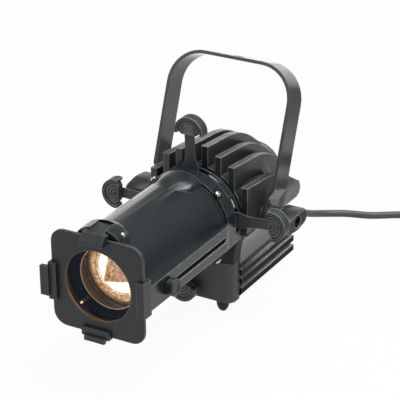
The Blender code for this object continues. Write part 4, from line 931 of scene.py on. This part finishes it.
class SPOT_OT_painted_parts(bpy.types.Operator):
    """Powder coat on the barrel, castings, base and yoke"""
    bl_idname = "spot.painted_parts"
    bl_label = "Painted parts"

    def execute(self, context):
        colours = context.scene.spot_colours
        rough = colours.body_gloss
        black = colours.body_black
        satin = coated("tube_satin_black", black, rough, 1500.0, 0.02, wear=0.5, spill=BORE_SPILL)
        self.bright_rails(satin)
        self.window(satin, BORE_GLINT, spans=((226.6, 1.5),), radii=(38.0, 40.0), depths=(6.0, 24.0))
        satin.dress("lens_tube", "gate_collar")
        plate = coated("plate_matt_black", black * 1.3, 0.5, 1700.0, 0.05, wear=0.6, spill=RIM_SPILL)
        plate.dress("colour_frame")
        matt = coated("frame_matt_black", black * 1.2, 0.4, 1700.0, 0.05, wear=0.45)
        matt.dress("frame_holder", "frame_latch")
        # painted highlight: a strong edge mask lightens the fins' edges and crests
        cast = coated("cast_powder_coat", colours.cast_black, rough + 0.06, 1100.0, 0.04, wear=1.4, dust_and_top_light=0.1)
        self.neck_bands(cast)
        cast.dress("reflector_housing", "lamp_cap")
        gate = coated("gate_powder_coat", black, rough + 0.06, 1100.0, 0.05, wear=0.5)
        self.window(gate, COLLAR_LEAK, spans=((64.0, 7.5), (25.0, 7.0)), radii=(40.1, 41.0), depths=(150.0, 160.0))
        gate.dress("gate_body")
        # painted top light: an amount above 1 lightens the ribs' upper faces fully
        shell = coated("extrusion_powder_coat", black * 0.6, rough + 0.3, 1300.0, 0.04, wear=0.6, dust_and_top_light=1.5,
                       specular=0.06)
        shell.dress("base_shell")
        coated("yoke_grey_coat", colours.yoke_grey, 0.17, 1600.0, 0.02, wear=0.4).dress("yoke")
        return {"FINISHED"}

    def bright_rails(self, finish):
        """Paints a brighter highlight on the flat rails' edges than on the rest of the tube."""
        across, _, rise = finish.split(finish.place())
        low = finish.remap(rise, height(RAIL_TOP + 1.0), height(RAIL_TOP))
        outer = finish.remap(finish.unsigned(across), RAIL_INNER * MM, (RAIL_INNER + 1.0) * MM)
        more = finish.times(low, outer, RAIL_HIGHLIGHT)
        finish.feed(finish.wear, finish.plus(finish.wear.default_value, more))

    def window(self, finish, colour, spans, radii, depths):
        """Lamplight through a gap, between two radii and two depths, at spans given as middle and half angle."""
        across, back, rise, radius = finish.round_axis()
        whole = 2.0 * math.pi
        turn = finish.maths("MODULO", finish.plus(finish.maths("ARCTAN2", rise, across), whole), whole)
        lit = 0.0
        for middle, half in spans:
            off = finish.unsigned(finish.minus(turn, math.radians(middle)))
            lit = finish.most(lit, finish.remap(off, math.radians(half), math.radians(half * 0.6)))
        for value, (low, high) in ((radius, [reach * MM for reach in radii]), (back, map(depth, depths))):
            lit = finish.times(lit, finish.remap(value, low - WINDOW_FADE, low + WINDOW_FADE),
                               finish.remap(value, high + WINDOW_FADE, high - WINDOW_FADE))
        finish.glow(finish.blend(lit, finish.now("Emission Color", BLACK), colour))

    def neck_bands(self, finish):
        """The neck's front flange is rough with painted shade; the panel behind it is smoother, with a painted
        shadow of a groove.

        The rear flanks of the casting turn under.
        """
        across, back, rise = finish.split(finish.place())
        edge = depth(NECK_FLANGE_END)
        groove_low, groove_high = map(height, NECK_GROOVE_SHADE)
        low = finish.remap(rise, height(NECK_TOP), height(NECK_TOP - 4.0))
        ahead = finish.remap(back, edge + 0.2 * MM, edge - 0.2 * MM)
        panel = finish.times(low, finish.minus(1.0, ahead))
        flank = finish.times(finish.remap(finish.unsigned(across), 45.0 * MM, 46.0 * MM),
                             finish.remap(back, depth(FLANK_START), depth(FLANK_START + 10.0)))
        droop = finish.times(flank, finish.remap(rise, height(8.0), height(-24.0), 0.0, 0.7))
        flare = finish.times(panel, finish.remap(back, edge, depth(FLANK_START), 0.08, 0.05))
        down = finish.op("ShaderNodeCombineXYZ", {"Z": finish.times(finish.plus(droop, flare), -1.0)})
        bent = finish.vector("ADD", finish.now("Normal"), down)
        finish.give("Normal", finish.vector("NORMALIZE", bent))
        inside = finish.times(finish.remap(rise, groove_low - 0.2 * MM, groove_low),
                              finish.remap(rise, groove_high, groove_high - 0.4 * MM))
        # painted shade on the flange's front and the painted shadow of the groove
        dark = finish.most(finish.times(low, ahead), finish.times(panel, inside))
        finish.give("Base Color", finish.blend(dark, finish.now("Base Color"), NECK_SHADOW))
        rough = finish.plus(finish.now("Roughness"), finish.times(dark, 0.4))
        finish.give("Roughness", finish.minus(rough, finish.times(panel, 0.2)))


class SPOT_OT_mouldings(bpy.types.Operator):
    """Grips, knobs, lens carrier and base caps in moulded plastic"""
    bl_idname = "spot.mouldings"
    bl_label = "Mouldings"

    def execute(self, context):
        colours = context.scene.spot_colours
        # painted highlight: a strong edge mask lightens the ridges of the grips and the rims of the knobs
        grip = coated("grip_plastic", colours.plastic * 0.7, 0.48, 1900.0, 0.07, wear=1.6, dust_and_top_light=0.0)
        grip.dress(*nodes_like("shutter_grip"))
        knob = coated("knob_plastic", colours.plastic * 0.4, 0.4, 2000.0, 0.05, wear=1.6, specular=0.4)
        knob.dress("focus_knob", "lock_knob_left", "lock_knob_right")
        cap = coated("cap_plastic", colours.plastic * 1.25, 0.52, 1500.0, 0.06, wear=0.5)
        cap.dress("base_front_cap", "base_rear_cap")
        inner = coated("carrier_plastic", colours.body_black, 0.25, 1800.0, 0.02, wear=0.0, dust_and_top_light=0.0)
        self.warm_bore(inner, depth(node_box("lens_ring")[0].y))
        inner.dress("lens_carrier", "lens_ring")
        return {"FINISHED"}

    def warm_bore(self, finish, start):
        """Painted lamplight glow on the lens mount: copper lip highlight, brown turning gold toward the lens, navy
        further out.
        """
        _, back, _, radius = finish.round_axis()
        gold = finish.ramp(finish.remap(radius, 26.0 * MM, 33.0 * MM), MOUNT_STOPS)
        shaded = finish.remap(back, start + 1.0 * MM, start + 8.0 * MM, 0.12, 1.0)
        inside = finish.times(finish.remap(radius, (MOUNT_RADIUS + 0.4) * MM, MOUNT_RADIUS * MM),
                              finish.remap(back, start + 0.2 * MM, start + 0.6 * MM))
        marbled = finish.remap(finish.noise(finish.place(), 240.0, 5.0, 0.7), 0.3, 0.7, 0.55, 1.2)
        navy = finish.blend(finish.remap(radius, 40.5 * MM, 40.0 * MM), BLACK, MOUNT_NAVY_GLOW)
        lit = finish.blend(finish.times(shaded, marbled, inside), navy, gold)
        lip = finish.times(finish.remap(radius, 27.9 * MM, 27.5 * MM),
                           finish.remap(back, start + 0.4 * MM, start + 0.2 * MM), marbled)
        finish.glow(finish.blend(lip, lit, MOUNT_LIP_HIGHLIGHT))


class SPOT_OT_rubber_parts(bpy.types.Operator):
    """Feet and friction washers"""
    bl_idname = "spot.rubber_parts"
    bl_label = "Rubber parts"

    def execute(self, context):
        rubber = coated("foot_rubber", context.scene.spot_colours.rubber, 0.7, 1300.0, 0.1, wear=0.0, dust_and_top_light=0.15,
                        mottle=0.4, specular=0.3)
        rubber.dress(*nodes_like("foot_", "friction_"))
        return {"FINISHED"}


class SPOT_OT_metal_parts(bpy.types.Operator):
    """Blades, studs, pins, reflector and the parts round the lamp"""
    bl_idname = "spot.metal_parts"
    bl_label = "Metal parts"

    def execute(self, context):
        colours = context.scene.spot_colours
        steel = bare_metal("bright_steel", colours.steel, 0.28)
        steel.dress("latch_pin", "gate_front_plate", "pivot_stud_left", "pivot_stud_right", "cap_screw_left",
                    "cap_screw_right")
        blade = coated("blackened_blade_steel", colours.plastic, 0.42, 900.0, 0.03, wear=0.4)
        blade.dress(*nodes_like("shutter_blade"))
        bare_metal("reflector_aluminium", (0.88, 0.82, 0.7), 0.12, 500.0).dress("reflector")
        bare_metal("transformer_iron", (0.25, 0.25, 0.26), 0.5, 400.0).dress("transformer")
        coated("lamp_ceramic", (0.62, 0.58, 0.5), 0.5, 900.0, 0.08, wear=0.0).dress("lamp_holder")
        return {"FINISHED"}


class SPOT_OT_lens_light(bpy.types.Operator):
    """Lens glass, lamp capsule and a second lens behind the first that glows as a painted picture of the lit
    reflector
    """
    bl_idname = "spot.lens_light"
    bl_label = "Lens and light"

    def execute(self, context):
        self.glass("lens_glass", (1.0, 0.985, 0.95)).dress("lens")
        self.glass("lamp_quartz", (1.0, 0.93, 0.82)).dress("lamp")
        shares = [step / 12.0 for step in range(13)]
        bulge = [(REAR_LENS_RADIUS * share, REAR_LENS_BULGE * (1.0 - share * share)) for share in shares]
        profile = bulge + [(radius, rise + REAR_LENS_THICK) for radius, rise in reversed(bulge)]
        shape = turned(profile, 64)
        bmesh.ops.transform(shape, matrix=aim(ORIGIN, (0.0, 1.0, 0.0)), verts=shape.verts)
        back = node_box("lens")[1].y + REAR_LENS_GAP
        for vert in shape.verts:
            vert.co = at(vert.co.x, back + vert.co.y, vert.co.z)
        mesh_piece("lit_rear_lens", shape, self.lit_glass(), "focus")
        return {"FINISHED"}

    def glass(self, name, colour):
        """Clear glass with a faint uneven tint and light smears."""
        finish = Finish(name)
        where = finish.place()
        faint = finish.remap(finish.noise(where, 60.0), 0.3, 0.7, 0.97, 1.0)
        finish.give("Base Color", finish.blend(1.0, colour, faint, "MULTIPLY"))
        finish.give("Roughness", finish.remap(finish.noise(where, 90.0, 3.0), 0.45, 0.75, 0.0, 0.04))
        finish.give("Transmission Weight", 1.0)
        finish.give("IOR", 1.45)
        return finish

    def lit_glass(self):
        """A painted glow for the lit reflector seen through the lens: white and gold sectors, a cream band and a
        brown rim.
        """
        finish = Finish("lit_rear_lens")
        across, _, rise, radius = finish.round_axis()
        marbled = finish.noise(finish.place(), 420.0, 5.0, 0.7)
        wobble = finish.times(finish.minus(marbled, 0.5), 1.6 * MM)
        ring = finish.ramp(finish.maths("DIVIDE", finish.plus(radius, wobble), 27.0 * MM), LENS_STOPS)
        upright, level = (finish.unsigned(finish.minus(finish.times(along, 0.18), off))
                          for along, off in ((rise, across), (across, rise)))
        facet_edge = finish.most(upright, finish.plus(level, 1.7 * MM))
        facet = finish.remap(finish.plus(facet_edge, wobble), 11.5 * MM, 13.3 * MM, smooth=True)
        white = finish.times(facet, finish.remap(radius, 20.0 * MM, 18.8 * MM))
        vein = finish.ramp(finish.remap(marbled, 0.36, 0.64), VEIN_STOPS)
        gold = finish.blend(1.0, ring, vein, "MULTIPLY")
        finish.glow(finish.blend(white, gold, LENS_WHITE), 1.3)
        finish.give("Base Color", finish.blend(white, (0.05, 0.03, 0.02), (0.2, 0.15, 0.1)))
        finish.give("Roughness", 0.15)
        return finish


class SPOT_OT_screws(bpy.types.Operator):
    """Cross-head screws on the collar over dark washers painted near black as the shade of their recesses, and the
    screw on the hump
    """
    bl_idname = "spot.screws"
    bl_label = "Screws"

    def execute(self, context):
        sizes = context.scene.spot_sizes
        colours = context.scene.spot_colours
        steel = bare_metal("screw_steel", colours.steel * 0.85, 0.24, 1500.0)
        # painted shade: the washers are near black to stand for the shaded recess round each screw
        black = coated("washer_black", colours.body_black * 0.25, 0.6, 1800.0, 0.04, wear=0.0, dust_and_top_light=0.0,
                       specular=0.1)
        large = sizes.screw_head
        reach = node_box("gate_collar")[1].z - 0.3
        for label, degrees in (("right", 45.0), ("left", 135.0), ("lower_left", 225.0), ("lower_right", 315.0)):
            turn = math.radians(degrees)
            out = Vector((math.cos(turn), 0.0, math.sin(turn)))
            place = at(0.0, COLLAR_SCREW_DEPTH, 0.0) + out * reach * MM
            self.washer("collar_washer_" + label, large * 1.45, place, out, black)
            self.screw("collar_screw_" + label, large, place + out * 0.5 * MM, out, steel)
        self.screw("hump_screw", sizes.small_screw_head, at(17.6, 12.3, 44.8), (0.73, -0.04, 0.69), steel)
        return {"FINISHED"}

    def screw(self, name, radius, place, out, finish):
        shape = pan_head(radius)
        bmesh.ops.transform(shape, matrix=aim(place, out, 0.5), verts=shape.verts)
        mesh_piece(name, shape, finish, "barrel")

    def washer(self, name, radius, place, out, finish):
        hole = radius * 0.5
        tall = 0.8 * MM
        shape = turned(((hole, 0.0), (radius, 0.0), (radius, tall * 0.6), (radius * 0.9, tall), (hole, tall)), 28)
        bmesh.ops.transform(shape, matrix=aim(place, out), verts=shape.verts)
        mesh_piece(name, shape, finish, "barrel")


class SPOT_PT_dresser(bpy.types.Panel):
    """Steps that dress the spot, with its sizes, colours and stage"""
    bl_idname = "SPOT_PT_dresser"
    bl_label = "Framing Spot"
    bl_space_type = "VIEW_3D"
    bl_region_type = "UI"
    bl_category = "Framing Spot"

    def draw(self, context):
        layout = self.layout
        for step in STEPS:
            layout.operator(step.bl_idname)
        for group in (context.scene.spot_sizes, context.scene.spot_colours, context.scene.spot_stage):
            box = layout.box()
            for key in group.__annotations__:
                box.prop(group, key)


STEPS = (SPOT_OT_stage, SPOT_OT_power_lead, SPOT_OT_painted_parts, SPOT_OT_mouldings, SPOT_OT_rubber_parts,
         SPOT_OT_metal_parts, SPOT_OT_lens_light, SPOT_OT_screws)
CLASSES = (SpotSizes, SpotColours, SpotStage, *STEPS, SPOT_PT_dresser)


def register():
    for kind in CLASSES:
        bpy.utils.register_class(kind)
    bpy.types.Scene.spot_sizes = PointerProperty(type=SpotSizes)
    bpy.types.Scene.spot_colours = PointerProperty(type=SpotColours)
    bpy.types.Scene.spot_stage = PointerProperty(type=SpotStage)


def unregister():
    del bpy.types.Scene.spot_stage
    del bpy.types.Scene.spot_colours
    del bpy.types.Scene.spot_sizes
    for kind in reversed(CLASSES):
        bpy.utils.unregister_class(kind)


def main():
    register()
    bpy.ops.spot.stage()
    bpy.ops.spot.power_lead()
    bpy.ops.spot.painted_parts()
    bpy.ops.spot.mouldings()
    bpy.ops.spot.rubber_parts()
    bpy.ops.spot.metal_parts()
    bpy.ops.spot.lens_light()
    bpy.ops.spot.screws()
    bpy.context.view_layer.update()


if __name__ == "__main__":
    main()
